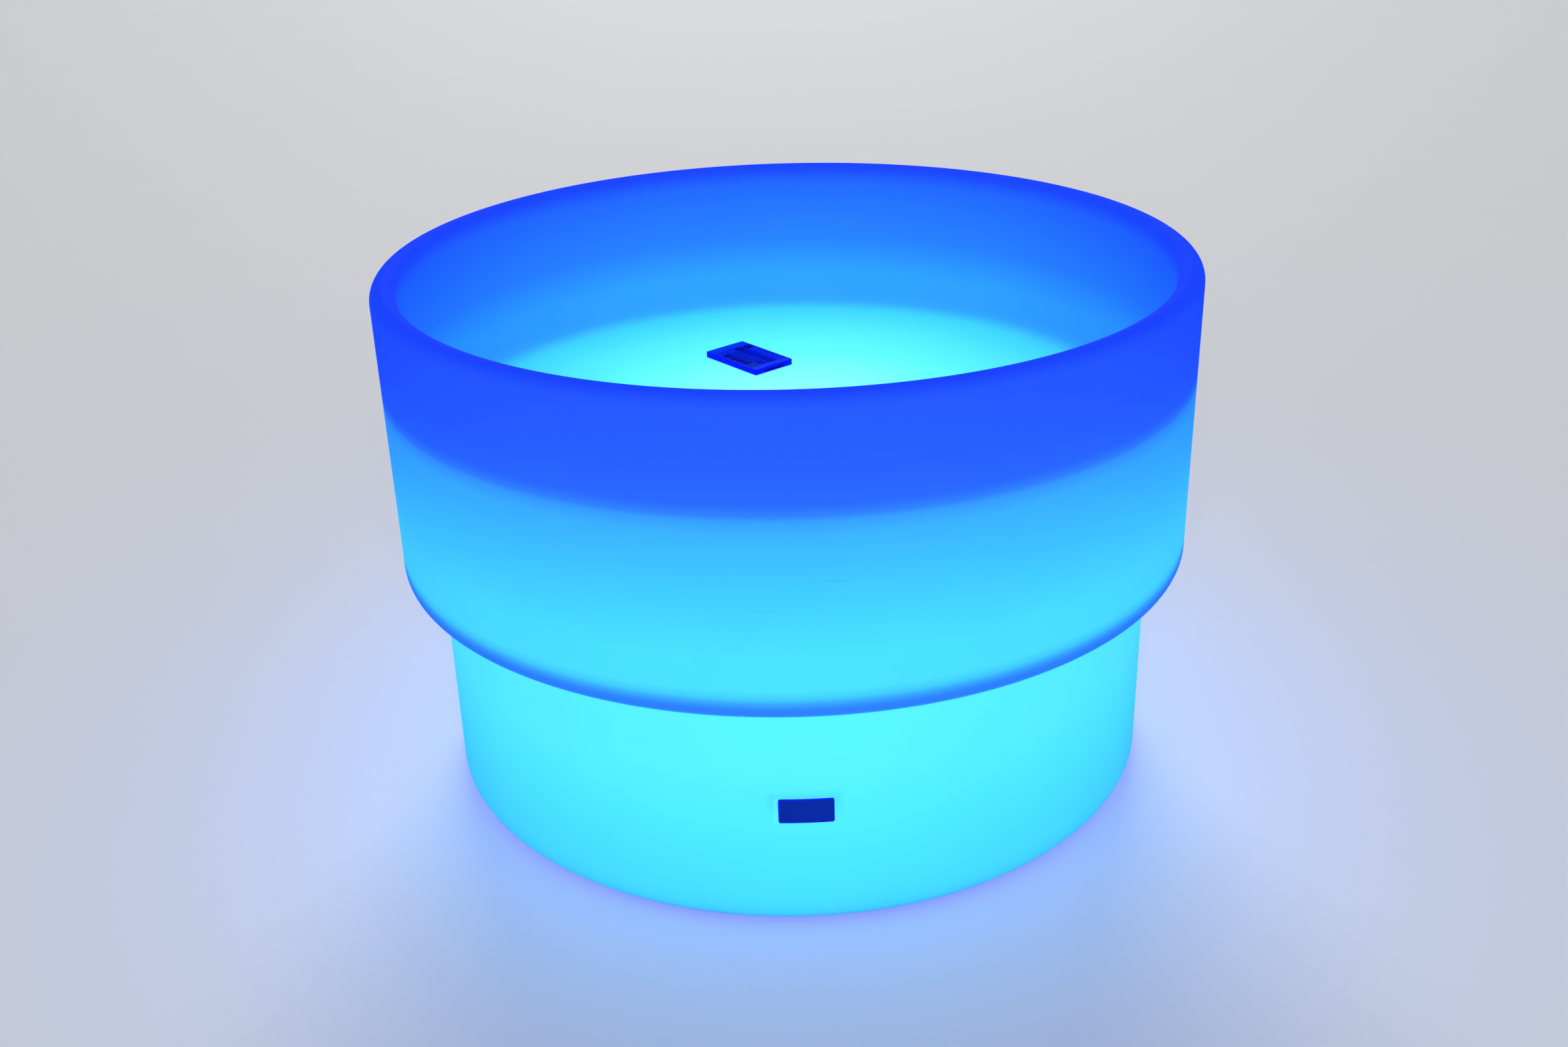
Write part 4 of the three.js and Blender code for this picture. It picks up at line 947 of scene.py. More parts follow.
def housing_profile():
    """A cup with a seat for the heat sink, on a flange with two grooves underneath."""
    low, high = UNIT_Z, UNIT_TOP_Z
    seat_bore, seat_z = HOUSING_BORE - SINK_SEAT_WIDTH, high - SINK_SEAT_DEPTH
    edge, groove = 1 * MM, 0.6 * MM
    under = [(0, low)]
    for radius in (HOUSING_RADIUS + 8 * MM, FLANGE_RADIUS - 4 * MM):
        under += [(radius, low), (radius + groove / 2, low + groove),
                  (radius + groove, low + groove), (radius + 1.5 * groove, low)]
    return under + [
        *arc((FLANGE_RADIUS - edge, low + edge), edge, -90, 0, steps=5),
        *arc((FLANGE_RADIUS - edge / 2, FLANGE_TOP_Z - edge / 2), edge / 2, 0, 90, steps=3),
        (HOUSING_RADIUS, FLANGE_TOP_Z), (HOUSING_RADIUS, high), (HOUSING_BORE, high),
        (HOUSING_BORE, seat_z), (seat_bore, seat_z), (seat_bore, HOUSING_FLOOR_Z),
        (0, HOUSING_FLOOR_Z),
    ]


def housing_cutters():
    """Holes of the screws, the button and the socket, and the signs beside the last two."""
    low, over = UNIT_Z - MM, FLANGE_TOP_Z + MM
    shank = FLANGE_SCREW_SHANK + SIDE_GAP
    small_shank = BRACKET_SCREW_SHANK + SIDE_GAP
    cutters = [rod(shank, low, over, box_middle(node), 24) for node in FLANGE_SCREWS]
    cutters += [rod(small_shank, heights(node)[0] - SIDE_GAP, over, box_middle(node), 20)
                for node in BRACKET_SCREWS]
    spots = [box_middle(node) for node in ("power_button", "charging_socket")]
    for spot, radius in zip(spots, (BUTTON_HOLE, SOCKET_HOLE)):
        cutters.append(rod(radius, low, over, spot))
    for spot, sign in zip(spots, (power_sign, socket_sign)):
        beside = (spot.x, spot.y + SIGN_OFFSET)
        cutters += sign(beside, SIGN_RADIUS, SIGN_WIDTH, low, UNIT_Z + ENGRAVED)
    return cutters


def housing_posts():
    """Posts under the corners of the control board."""
    low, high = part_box("control_board")
    return [rod(POST_RADIUS, HOUSING_FLOOR_Z - SIDE_GAP, POST_TOP_Z, (x, y), 24)
            for x in (low.x + POST_INSET, high.x - POST_INSET)
            for y in (low.y + POST_INSET, high.y - POST_INSET)]


def pan_screw(node, finish, head_radius, head_height, shank, way):
    """A pan head screw with a cross in its head. way is 1 where its tip points up, or -1."""
    crown, tip = heights(node)[::way]
    spot = box_middle(node)
    seat_z = crown + way * head_height
    edge = 0.55 * head_height
    rim = arc((head_radius - edge, 0), edge, 90, 0, steps=6)
    profile = [(0, crown), *((r, crown + way * (edge - h)) for r, h in rim),
               (head_radius, seat_z), (shank, seat_z), (shank, tip - way * shank), (0, tip)]
    arm, half = 0.55 * head_radius, 0.13 * head_radius
    cross = [(half, half), (half, arm), (-half, arm), (-half, half), (-arm, half), (-arm, -half),
             (-half, -half), (-half, -arm), (half, -arm), (half, -half), (arm, -half), (arm, half)]
    ends = sorted((crown - way * head_height, crown + way * 0.5 * head_height))
    cutter = prism([(spot.x + x, spot.y + y) for x, y in cross], *ends)
    build(node, "screw_steel", node.replace("screw", "pan_screw"), turned(profile, 40, spot),
          finish, cuts=[cutter])


def opal_material(shade):
    """Opal cover that glows over its lamps, brightest at its crown."""
    made = Finish("Opal cover", shade, 0.25, specular=0.4)
    lit = made.span(made.xyz(made.place)[2], *heights("light_dome"), smooth=True)
    made.give("Base Color", made.mottled(shade, scale=30, amount=0.05))
    made.glow(made.mix(lit, between(grey(0), shade, 0.25), shade), strength=0.8)
    made.pebbled(scale=600, wave=1, depth=0.01 * MM)
    return made


def dome_profile():
    """The cover: a shallow cap over a flange, and a skirt that holds the lamp board down."""
    low, high = heights("light_dome")
    rise, wall, flange = 30 * MM, 2.2 * MM, 2 * MM
    rim = box_size("light_dome").x / 2
    skirt = HOUSING_BORE - SIDE_GAP
    cap_z = high - rise
    chord = skirt - wall
    radius = (chord ** 2 + rise ** 2) / (2 * rise)
    centre = (0, high - radius)
    outer_edge = math.degrees(math.acos(chord / radius))
    inner = radius - wall
    inner_edge = math.degrees(math.asin((cap_z - centre[1]) / inner))
    cap = [(0, high), *arc(centre, radius, 90, outer_edge, steps=14)[1:]]
    roof = [*arc(centre, inner, inner_edge, 90, steps=12)[:-1], (0, high - wall)]
    edge = flange / 2
    return cap + [
        *arc((rim - edge, cap_z - edge), edge, 90, -90, steps=6), (skirt, cap_z - flange),
        (skirt, low), (skirt - wall, low), (skirt - wall, cap_z - flange),
    ] + roof


def build_gasket(finish):
    """A flat ring with a hole for each screw."""
    low, high = heights("flange_gasket")
    outer, inner = box_size("flange_gasket").x / 2, HOUSING_RADIUS + 6 * MM
    edge = 0.4 * MM
    profile = [(inner, low), (outer - edge, low), (outer, low + edge), (outer, high - edge),
               (outer - edge, high), (inner, high)]
    holes = [rod(FLANGE_SCREW_SHANK + SIDE_GAP, low - MM, high + MM, box_middle(node), 24)
             for node in FLANGE_SCREWS]
    build("flange_gasket", "black_rubber", "sealing_ring", turned(profile, 96), finish, cuts=holes)


def build_button(finish):
    """A dished button with the power sign, on a collar and a stem."""
    low, high = heights("power_button")
    spot = box_middle("power_button")
    radius, edge, dish, collar, stem = 6.2 * MM, 0.8 * MM, 0.5 * MM, 8 * MM, 2.5 * MM
    collar_z = HOUSING_FLOOR_Z + SIDE_GAP
    dished = [(out * radius, low + deep * dish)
              for out, deep in ((0, 1), (0.4, 0.8), (0.72, 0.25))]
    profile = [*dished, *arc((radius - edge, low + edge), edge, -90, 0, steps=5),
               (radius, collar_z), (collar, collar_z), (collar, collar_z + MM),
               (stem, collar_z + MM), (stem, high), (0, high)]
    sign = power_sign(spot, radius=2.2 * MM, width=0.5 * MM, low=low - MM,
                      high=low + dish + ENGRAVED)
    build("power_button", "grey_button", "push_button", turned(profile, 64, spot), finish,
          body="power_button", cuts=sign)


def build_socket(finish):
    """A round socket with a pin in its bore and a collar in the housing's floor."""
    low, high = heights("charging_socket")
    pin, bore, body, collar, lead_in = MM, 3.2 * MM, 5.5 * MM, 7.5 * MM, 0.4 * MM
    seat_z, roof = low + 1.5 * MM, low + 8.5 * MM
    profile = [(0, low + SIDE_GAP), (0.7 * pin, low + SIDE_GAP), (pin, low + 2 * SIDE_GAP),
               (pin, roof), (bore, roof), (bore, low + lead_in), (bore + lead_in, low),
               (collar - lead_in, low), (collar, low + lead_in), (collar, seat_z),
               (body, seat_z), (body, high), (0, high)]
    mesh = turned(profile, 56, box_middle("charging_socket"))
    build("charging_socket", "black_plastic", "power_socket", mesh, finish)


def build_cap(finish):
    """A disc with a hollow plug on it, and a tab with three ribs to pull it by."""
    low, high = heights("socket_cap")
    spot, tab_end = box_middle("charging_socket"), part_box("socket_cap")[1].x
    radius, stub, bore, edge, bevel = 8 * MM, 2.9 * MM, 1.3 * MM, 0.5 * MM, 0.3 * MM
    top = low + 1.6 * MM
    profile = [(0, low + edge), (0.45 * radius, low + edge), (0.5 * radius, low),
               *arc((radius - edge, low + edge), edge, -90, 0, steps=4),
               (radius, top - edge / 2), (radius - edge / 2, top), (stub, top),
               (stub, high - edge), (stub - edge, high), (bore, high), (bore, top), (0, top)]
    size = (tab_end - spot.x - radius / 2, 5 * MM)
    sides = [(bevel, low), (0, low + bevel), (0, top - bevel), (bevel, top)]
    tab = rounded_prism(size, 0.45 * size[1], sides, (tab_end - size[0] / 2, spot.y))
    rib = rounded_outline(0.4 * MM, 3.6 * MM, 0.19 * MM, steps=2)
    ribs = []
    for i in range(3):
        rib_x = tab_end - (1 + 0.9 * i) * MM
        ribs.append(prism([(rib_x + x, spot.y + y) for x, y in rib], low - MM, low + bevel))
    build("socket_cap", "black_rubber", "cap_plug", turned(profile, 64, spot), finish,
          body="socket_cap", adds=[tab], cuts=ribs)


class BOWLTABLE_OT_light_unit(bpy.types.Operator):
    """Build what shows of the light unit under the table: housing, screws, button and socket"""
    bl_idname = "bowl_table.light_unit"
    bl_label = "Light unit, outside"

    def execute(self, context):
        look = settings().under
        white = plastic("Housing plastic", look.housing, 0.42, grain=1100)
        rubbery = rubber("Seal rubber", look.rubber, grain=900)
        steel = metal("Zinc plated steel", look.steel, 0.28, scale=500)
        build("light_housing", "white_housing", "lamp_housing", turned(housing_profile(), 128),
              white, adds=housing_posts(), cuts=housing_cutters())
        build_gasket(rubbery)
        for node in FLANGE_SCREWS:
            pan_screw(node, steel, head_radius=4.5 * MM, head_height=2.8 * MM,
                      shank=FLANGE_SCREW_SHANK, way=1)
        build_button(plastic("Button plastic", look.button, 0.5, grain=1500))
        build_socket(plastic("Socket plastic", look.socket, 0.5, grain=1500))
        build_cap(rubbery)
        return {"FINISHED"}


# Light unit, inside

LACQUER = linear("185C32")
TRACE = linear("3C9652")


def board_material(name, shade, trace, parts, surface_z):
    """Circuit board: lacquer over copper tracks, and its parts coloured by their height."""
    made = Finish(name, shade, 0.35)
    z = made.xyz(made.place)[2]
    per_metre, spacing, width = 700, 0.35, 0.32
    flat = made.scaled(made.place, (per_metre, per_metre, 0))
    maze = made.node("ShaderNodeTexVoronoi", {"Vector": flat, "Scale": spacing},
                     distance="MANHATTAN", feature="F1")
    track = made.math("LESS_THAN", maze.outputs["Distance"], width)
    lacquer = made.marked(shade, track, trace, depth=0.5)
    raised = made.math("GREATER_THAN", z, surface_z)
    bare = made.mottled(lacquer, scale=60, amount=0.1)
    made.give("Base Color", made.mix(raised, bare, parts(made, z)))
    made.pebbled(scale=900, wave=0.5, depth=0.01 * MM)
    return made


def led_board_material():
    """White lamp board with yellow lamp faces in white frames."""
    low, high = heights("led_board")
    face_z, surface_z = high - 0.15 * MM, low + 1.65 * MM

    def lamps(made, z):
        lit = made.math("GREATER_THAN", z, face_z)
        return made.mix(lit, linear("E2E2DE"), linear("EECE5C"))
    return board_material("Lamp board", linear("E8ECEE"), linear("C4CCCE"), lamps, surface_z)


def control_board_material():
    """Green board whose parts are black, with white sockets for the leads."""
    low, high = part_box("control_board")
    socket_x, tall_z = 0.31 * (high.x - low.x), high.z - 0.4 * MM

    def parts(made, z):
        socket = made.math("GREATER_THAN", made.off(made.xyz(made.place)[0], 0), socket_x)
        tall = made.math("GREATER_THAN", z, tall_z)
        dark = made.mix(tall, linear("1A1B1E"), linear("A8ACB2"))
        return made.mix(socket, dark, linear("E4E2D6"))
    surface_z = POST_TOP_Z + SIDE_GAP + 1.7 * MM
    return board_material("Control board", LACQUER, TRACE, parts, surface_z)


def battery_material():
    """Shrink wrap with a pale band at each end and soft creases across."""
    blue, pale = linear("1E54AC"), linear("C4C8CE")
    made = Finish("Battery wrap", blue, 0.3)
    band_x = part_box("battery_pack")[1].x - 5 * MM
    band = made.math("GREATER_THAN", made.off(made.xyz(made.place)[0], 0), band_x)
    made.give("Base Color", made.mix(band, made.mottled(blue, scale=50, amount=0.1), pale))
    creases = made.noise(made.scaled(made.place, (0.25, 1, 1)), scale=400, detail=3)
    made.raised(creases, 0.1 * MM)
    return made


def build_seal(finish):
    low, high = heights("dome_seal")
    outer, inner, edge = HOUSING_RADIUS, HOUSING_BORE, 0.3 * MM
    profile = [(inner + edge, low), (outer - edge, low), (outer, low + edge),
               (outer, high - edge), (outer - edge, high), (inner + edge, high),
               (inner, high - edge), (inner, low + edge)]
    build("dome_seal", "grey_seal", "cover_seal", turned(profile, 128), finish)


class BOWLTABLE_OT_light_parts(bpy.types.Operator):
    """Build the opal cover and finish the lamps, boards, battery, heat sink and leads below it"""
    bl_idname = "bowl_table.light_parts"
    bl_label = "Light unit, inside"

    def execute(self, context):
        look = settings().under
        build("light_dome", "opal_cover", "opal_dome", turned(dome_profile(), 128),
              opal_material(look.opal))
        build_seal(rubber("Grey seal", linear("7A7C80"), grain=900))
        steel = metal("Small steel", look.steel, 0.3, scale=600)
        for node in BRACKET_SCREWS:
            pan_screw(node, steel, head_radius=2.4 * MM, head_height=1.5 * MM,
                      shank=BRACKET_SCREW_SHANK, way=-1)
        dress("heat_sink", metal("Cast aluminium", linear("B0B4B8"), 0.4, scale=220,
                                 stretch=(1, 8, 1)))
        dress("battery_bracket", metal("Bracket steel", look.steel, 0.35, scale=300,
                                       stretch=(8, 1, 1)))
        dress("led_board", led_board_material())
        dress("control_board", control_board_material())
        dress("battery_pack", battery_material())
        dress("ir_receiver", plastic("Receiver resin", linear("141218"), 0.2, grain=700))
        dress("battery_lead", plastic("Red lead", linear("B01616"), 0.5, grain=1400))
        dress("led_lead", plastic("Black lead", linear("18181B"), 0.5, grain=1400))
        return {"FINISHED"}


# Remote, built in its own frame: X towards its coin tray, Y across, height zero under its case

REMOTE_SIZE = Vector((86, 52, 6.5)) * MM
REMOTE_TOP = REMOTE_SIZE.z
REMOTE_END = REMOTE_SIZE.x / 2
REMOTE_SPLIT = 4 * MM
REMOTE_WALL = 1.2 * MM
REMOTE_FLOOR = 0.8 * MM
REMOTE_LID = 0.8 * MM
SPLIT_BEVEL = 0.15 * MM
RAIL_WIDTH = 1.5 * MM
ROWS = 6
COLUMNS = 4
KEY_SIZE = Vector((7.4, 8)) * MM
KEY_CORNER = 1.4 * MM
KEY_PITCH = Vector((10.4, 12.2)) * MM
KEY_FIELD_X = 2.4 * MM
KEY_STAND = 0.6 * MM
KEY_COLLAR = 0.6 * MM
KEY_COLLAR_TOP = REMOTE_TOP - REMOTE_LID - SIDE_GAP
KEY_COLLAR_Z = KEY_COLLAR_TOP - 0.4 * MM
BOARD_TOP = KEY_COLLAR_Z - 2 * SIDE_GAP
BOARD_UNDERSIDE = BOARD_TOP - 0.5 * MM
LAMP_RADIUS = 1.2 * MM
LAMP_Z = REMOTE_SPLIT + SIDE_GAP / 2
TRAY_LENGTH = 27 * MM
TRAY_WIDTH = 25 * MM
TRAY_Z = 1.1 * MM
TRAY_HEIGHT = 2.4 * MM
TRAY_TOP = TRAY_Z + TRAY_HEIGHT
CELL_RADIUS = 10 * MM
CELL_X = REMOTE_END - TRAY_LENGTH / 2 - REMOTE_WALL / 2


def build_remote(node, slot, name, mesh, *finishes, body="remote", cuts=()):
    """Builds a piece in the remote's own frame, and puts it in the bowl."""
    centre = box_middle("remote_bottom_case")
    spot = Matrix.Translation((centre.x, centre.y, REMOTE_BASE_Z))
    return build(node, slot, name, mesh, *finishes, body=body, cuts=cuts,
                 place=spot @ Matrix.Rotation(REMOTE_TURN, 4, "Z"))


def key_spot(row, column):
    return (KEY_FIELD_X + (row - (ROWS - 1) / 2) * KEY_PITCH.x,
            (column - (COLUMNS - 1) / 2) * KEY_PITCH.y)


def lit_plastic(name, roughness, top, side=None):
    """Plastic with the body's blue light painted on. Its own light stands in for the glow that
    falls on it, and one tone where it faces up and another on its sides are painted light and
    shade.
    """
    # Painted light: given is the table's blue glow on this plastic, put in as its own light though
    # the remote is no lamp.
    kept, given = grey(0.5), (0.25, 0.25, 0.4)
    made = Finish(name, top, roughness, specular=0.03)
    # Painted shade: the colour turns from the side tone to the top tone as the surface faces up.
    up = made.span(made.xyz(made.facing)[2], 0.35, 0.9, smooth=True)
    shade = made.mix(up, top if side is None else side, top)
    shade = made.mottled(shade, scale=70, amount=0.12)
    made.give("Base Color", made.times(shade, kept))
    made.glow(made.times(shade, given))
    made.pebbled(scale=1200, wave=0.5, depth=0.015 * MM)
    return made


def cavity(low, high, narrower=0):
    """Cutter of the case's hollow between two heights."""
    size = (REMOTE_SIZE.x - 2 * REMOTE_WALL, REMOTE_SIZE.y - 2 * REMOTE_WALL - 2 * narrower)
    return rounded_prism(size, settings().remote.corner - REMOTE_WALL, [(0, low), (0, high)])


def lay_along(mesh, end_x):
    """Turns an upright mesh to point along X from the given place, at the lamp's height."""
    turn = Matrix.Rotation(math.pi / 2, 4, "Y")
    mesh.transform(Matrix.Translation((end_x, 0, LAMP_Z)) @ turn)


def lamp_hole():
    """Cutter of the lamp's hole through the end wall."""
    mesh = rod(LAMP_RADIUS + SIDE_GAP, -MM, REMOTE_WALL + MM, (0, 0), 32)
    lay_along(mesh, -REMOTE_END)
    return mesh


def end_slot(width, low, high, depth):
    """Cutter of a slot in the remote's front end."""
    outline = rectangle(REMOTE_END - depth, REMOTE_END + MM, -width / 2, width / 2)
    return prism(outline, low, high)


def build_bottom(look, finish):
    profile = [*reversed(fillet_run(0, 0, look.edge, way=-1)), (0, REMOTE_SPLIT - SPLIT_BEVEL),
               (SPLIT_BEVEL, REMOTE_SPLIT)]
    slot = end_slot(TRAY_WIDTH + 2 * SIDE_GAP, TRAY_Z - SIDE_GAP, TRAY_TOP + SIDE_GAP,
                    REMOTE_WALL + MM)
    build_remote("remote_bottom_case", "remote_white", "case_bottom",
                 rounded_prism(REMOTE_SIZE, look.corner, profile, steps=8), finish,
                 cuts=[cavity(REMOTE_FLOOR, REMOTE_TOP, RAIL_WIDTH),
                       cavity(BOARD_UNDERSIDE - SIDE_GAP, REMOTE_TOP), slot, lamp_hole()])


def build_top(look, finish):
    """The upper half with its key holes and the shallow field round them."""
    low = REMOTE_SPLIT + SIDE_GAP
    field_z, over = REMOTE_TOP - 0.12 * MM, REMOTE_TOP + MM
    margin, field_corner = 1.2 * MM, 1.5 * MM
    profile = [(SPLIT_BEVEL, low), (0, low + SPLIT_BEVEL), *fillet_run(0, REMOTE_TOP, look.edge)]
    work = bmesh.new()
    hole_size = [side + 2 * SIDE_GAP for side in KEY_SIZE]
    for row in range(ROWS):
        for column in range(COLUMNS):
            work.from_mesh(rounded_prism(hole_size, KEY_CORNER, [(0, low), (0, over)],
                                         key_spot(row, column)))
    field_size = (ROWS * KEY_PITCH.x + margin, COLUMNS * KEY_PITCH.y - margin)
    field = rounded_prism(field_size, field_corner, [(0, field_z), (0, over)], (KEY_FIELD_X, 0))
    piece = build_remote("remote_top_case", "remote_white", "case_top",
                         rounded_prism(REMOTE_SIZE, look.corner, profile, steps=8),
                         finish, lit_plastic("Key field", 0.5, look.field),
                         cuts=[cavity(low - MM, REMOTE_TOP - REMOTE_LID), field, mesh_of(work),
                               lamp_hole()])
    for face in piece.data.polygons:
        height = face.center.z - REMOTE_BASE_Z
        face.material_index = int(abs(height - field_z) < 0.01 * MM)


def build_lamp():
    """A clear tinted lamp with a round tip, a rim at its foot and two legs."""
    tip = -REMOTE_END - 0.6 * MM
    foot, rim, rim_radius = 5 * MM, 0.7 * MM, LAMP_RADIUS + 0.1 * MM
    profile = [(0, foot), (rim_radius, foot), (rim_radius, foot - rim), (LAMP_RADIUS, foot - rim),
               *arc((0, LAMP_RADIUS), LAMP_RADIUS, 0, -90, steps=8)[:-1], (0, 0)]
    bulb = turned(profile, 32)
    lay_along(bulb, tip)
    work = bmesh.new()
    work.from_mesh(bulb)
    half, spread = 0.2 * MM, 0.4 * MM
    leg_start, leg_end = tip + foot - half, -REMOTE_END + 8 * MM - SIDE_GAP
    middle = (BOARD_TOP + BOARD_UNDERSIDE) / 2
    for y in (-spread, spread):
        leg = rectangle(leg_start, leg_end, y - half, y + half)
        work.from_mesh(prism(leg, middle - half, middle + half))
    finish = plastic("Tinted lamp", linear("1C1030"), 0.12, grain=500, specular=0.6)
    build_remote("remote_ir_led", "black_lens", "signal_lamp", mesh_of(work), finish)


def build_tray(look):
    """The cell's tray, with a grip cut in its lip and a groove across its end."""
    edge, grip_width, grip_depth = 0.25 * MM, 12 * MM, 0.8 * MM
    profile = [*reversed(fillet_run(0, TRAY_Z, edge, way=-1)), *fillet_run(0, TRAY_TOP, edge)]
    mesh = rounded_prism((TRAY_LENGTH, TRAY_WIDTH), REMOTE_WALL / 2, profile,
                         (REMOTE_END - TRAY_LENGTH / 2, 0))
    hole = rod(CELL_RADIUS + SIDE_GAP, TRAY_Z - MM, TRAY_TOP + MM, (CELL_X, 0), 96)
    grip = end_slot(grip_width, TRAY_TOP - grip_depth, TRAY_TOP + MM, grip_depth)
    groove = end_slot(0.8 * TRAY_WIDTH, TRAY_Z + 0.5 * MM, TRAY_Z + 1.2 * MM, 0.4 * MM)
    build_remote("coin_tray", "remote_white", "cell_tray", mesh,
                 lit_plastic("Coin tray", 0.45, look.tray), body="coin_tray",
                 cuts=[hole, grip, groove])


def build_cell():
    """A coin cell: a can with a rounded edge, a seam and a smaller pole underneath."""
    thick, edge, seam = 2.2 * MM, 0.3 * MM, 0.05 * MM
    low = TRAY_Z + (TRAY_HEIGHT - thick) / 2
    high = low + thick
    radius, pole = CELL_RADIUS, CELL_RADIUS - 1.2 * MM
    profile = [(0, low), (pole, low), (pole + edge, low + edge), (radius - edge, low + edge),
               (radius, low + 2 * edge), *arc((radius - edge, high - edge), edge, 0, 90, steps=4),
               (0.8 * radius, high), (0.78 * radius, high - seam), (0, high - seam)]
    finish = metal("Cell steel", linear("C4C8CC"), 0.25, scale=200, stretch=(1, 30, 1),
                   depth=0.002 * MM)
    build_remote("coin_cell", "cell_steel", "button_cell", turned(profile, 96, (CELL_X, 0)),
                 finish, body="coin_tray")


class BOWLTABLE_OT_remote(bpy.types.Operator):
    """Build the card remote: both halves of its case, its lamp, its board and its coin tray"""
    bl_idname = "bowl_table.remote"
    bl_label = "Card remote"

    def execute(self, context):
        look = settings().remote
        shell = lit_plastic("Remote case", 0.4, look.case, look.shaded_case_side)
        build_bottom(look, shell)
        build_top(look, shell)
        build_lamp()
        build_tray(look)
        build_cell()
        dress("remote_board", board_material("Remote board", LACQUER, TRACE,
                                             lambda made, z: linear("8C8E92"), REMOTE_BASE_Z + MM))
        return {"FINISHED"}


# Keys of the remote. Marks are drawn as (right, up) points on a key of one unit.

MARK_STROKE = 0.55 * MM
LETTER_SIZE = 0.62
WORD_SIZE = 0.46
UP_MARK = [(-0.26, -0.16), (0.26, -0.16), (0, 0.24)]
DOWN_MARK = [(-0.26, 0.16), (0, -0.24), (0.26, 0.16)]
FLASH_MARK = [(0.10, 0.32), (-0.22, -0.06), (-0.02, -0.06), (-0.10, -0.32), (0.22, 0.06),
              (0.02, 0.06)]
FADE_MARK = [(-0.32, -0.03), (0.32, -0.18), (0.32, 0.18), (-0.32, 0.03)]
SMOOTH_LINE = [(0.32 * x, 0.16 * math.sin(math.pi * x)) for x in [i / 8 - 1 for i in range(17)]]
STROBE_LINES = [[(x, -0.22), (x, 0.22)] for x in (-0.22, 0, 0.22)]
KEY_SHAPES = {"brighter": UP_MARK, "dimmer": DOWN_MARK, "fade": FADE_MARK, "flash": FLASH_MARK}
KEY_LINES = {"smooth": [SMOOTH_LINE], "strobe": STROBE_LINES}
KEY_LETTERS = {"off": "OFF", "on": "ON", "red": "R", "green": "G", "blue": "B", "white": "W"}
KEY_ROWS = [
    [("brighter", "pale"), ("dimmer", "pale"), ("off", "dark"), ("on", "dark")],
    [("red", "warm"), ("green", "green"), ("blue", "blue"), ("white", "pale")],
    [("orange", "warm"), ("light_green", "green"), ("azure", "blue"), ("flash", "pale")],
    [("amber", "warm"), ("turquoise", "green"), ("indigo", "blue"), ("strobe", "pale")],
    [("gold", "warm"), ("cyan", "green"), ("purple", "blue"), ("fade", "pale")],
    [("yellow", "yellow"), ("sky", "blue"), ("pink", "blue"), ("smooth", "pale")],
]
KEY_TONES = ("dark", "warm", "green", "blue", "yellow", "pale")
KEY_SLOTS = {"off": "key_black", "on": "key_signal_red", "white": "key_white"}


def stroke_outline(line, width):
    """Outline of a line of the given width."""
    points = [Vector(point) for point in line]
    sides = []
    for i in range(len(points)):
        way = (points[min(i + 1, len(points) - 1)] - points[max(i - 1, 0)]).normalized()
        sides.append(Vector((-way.y, way.x)) * width / 2)
    left = [point + side for point, side in zip(points, sides)]
    right = [point - side for point, side in zip(points, sides)]
    return left + right[::-1]


def letter_mesh(text, size, low, high):
    """Flat letters centred on the origin, between two heights."""
    curve = bpy.data.curves.new(text, "FONT")
    curve.body = text
    curve.size = size
    curve.align_x = "CENTER"
    curve.align_y = "CENTER"
    curve.extrude = (high - low) / 2
    curve.resolution_u = 3
    holder = linked(text, curve)
    mesh = final_mesh(holder)
    bpy.data.objects.remove(holder)
    bpy.data.curves.remove(curve)
    mesh.transform(Matrix.Translation((0, 0, (high + low) / 2)))
    return mesh


def mark_meshes(name, low, high):
    """The printed mark of a key about the origin, with its top to the right in X."""
    unit = KEY_SIZE.y
    meshes = []
    if name in KEY_LETTERS:
        text = KEY_LETTERS[name]
        size = LETTER_SIZE if len(text) == 1 else WORD_SIZE
        meshes.append(letter_mesh(text, unit * size, low, high))
    outlines = [stroke_outline(line, MARK_STROKE / unit) for line in KEY_LINES.get(name, [])]
    if name in KEY_SHAPES:
        outlines.append(KEY_SHAPES[name])
    for outline in outlines:
        meshes.append(prism([(unit * p[0], unit * p[1]) for p in outline], low, high))
    return meshes


def key_mesh(name, spot):
    """A key with a rounded cap on its collar, and its mark as a thin print on top."""
    top = REMOTE_TOP + KEY_STAND
    edge, print_depth, print_height = 0.45 * MM, 0.1 * MM, 0.03 * MM
    profile = [(0, KEY_COLLAR_Z), (0, KEY_COLLAR_TOP), (KEY_COLLAR, KEY_COLLAR_TOP),
               *fillet_run(KEY_COLLAR, top, edge)]
    work = bmesh.new()
    work.from_mesh(rounded_prism([side + 2 * KEY_COLLAR for side in KEY_SIZE],
                                 KEY_CORNER + KEY_COLLAR, profile, spot, steps=4))
    count = len(work.faces)
    turn = Matrix.Translation((*spot, 0)) @ Matrix.Rotation(math.pi / 2, 4, "Z")
    for mark in mark_meshes(name, top - print_depth, top + print_height):
        mark.transform(turn)
        work.from_mesh(mark)
    work.faces.ensure_lookup_table()
    for face in work.faces[count:]:
        face.material_index = 1
    return mesh_of(work)


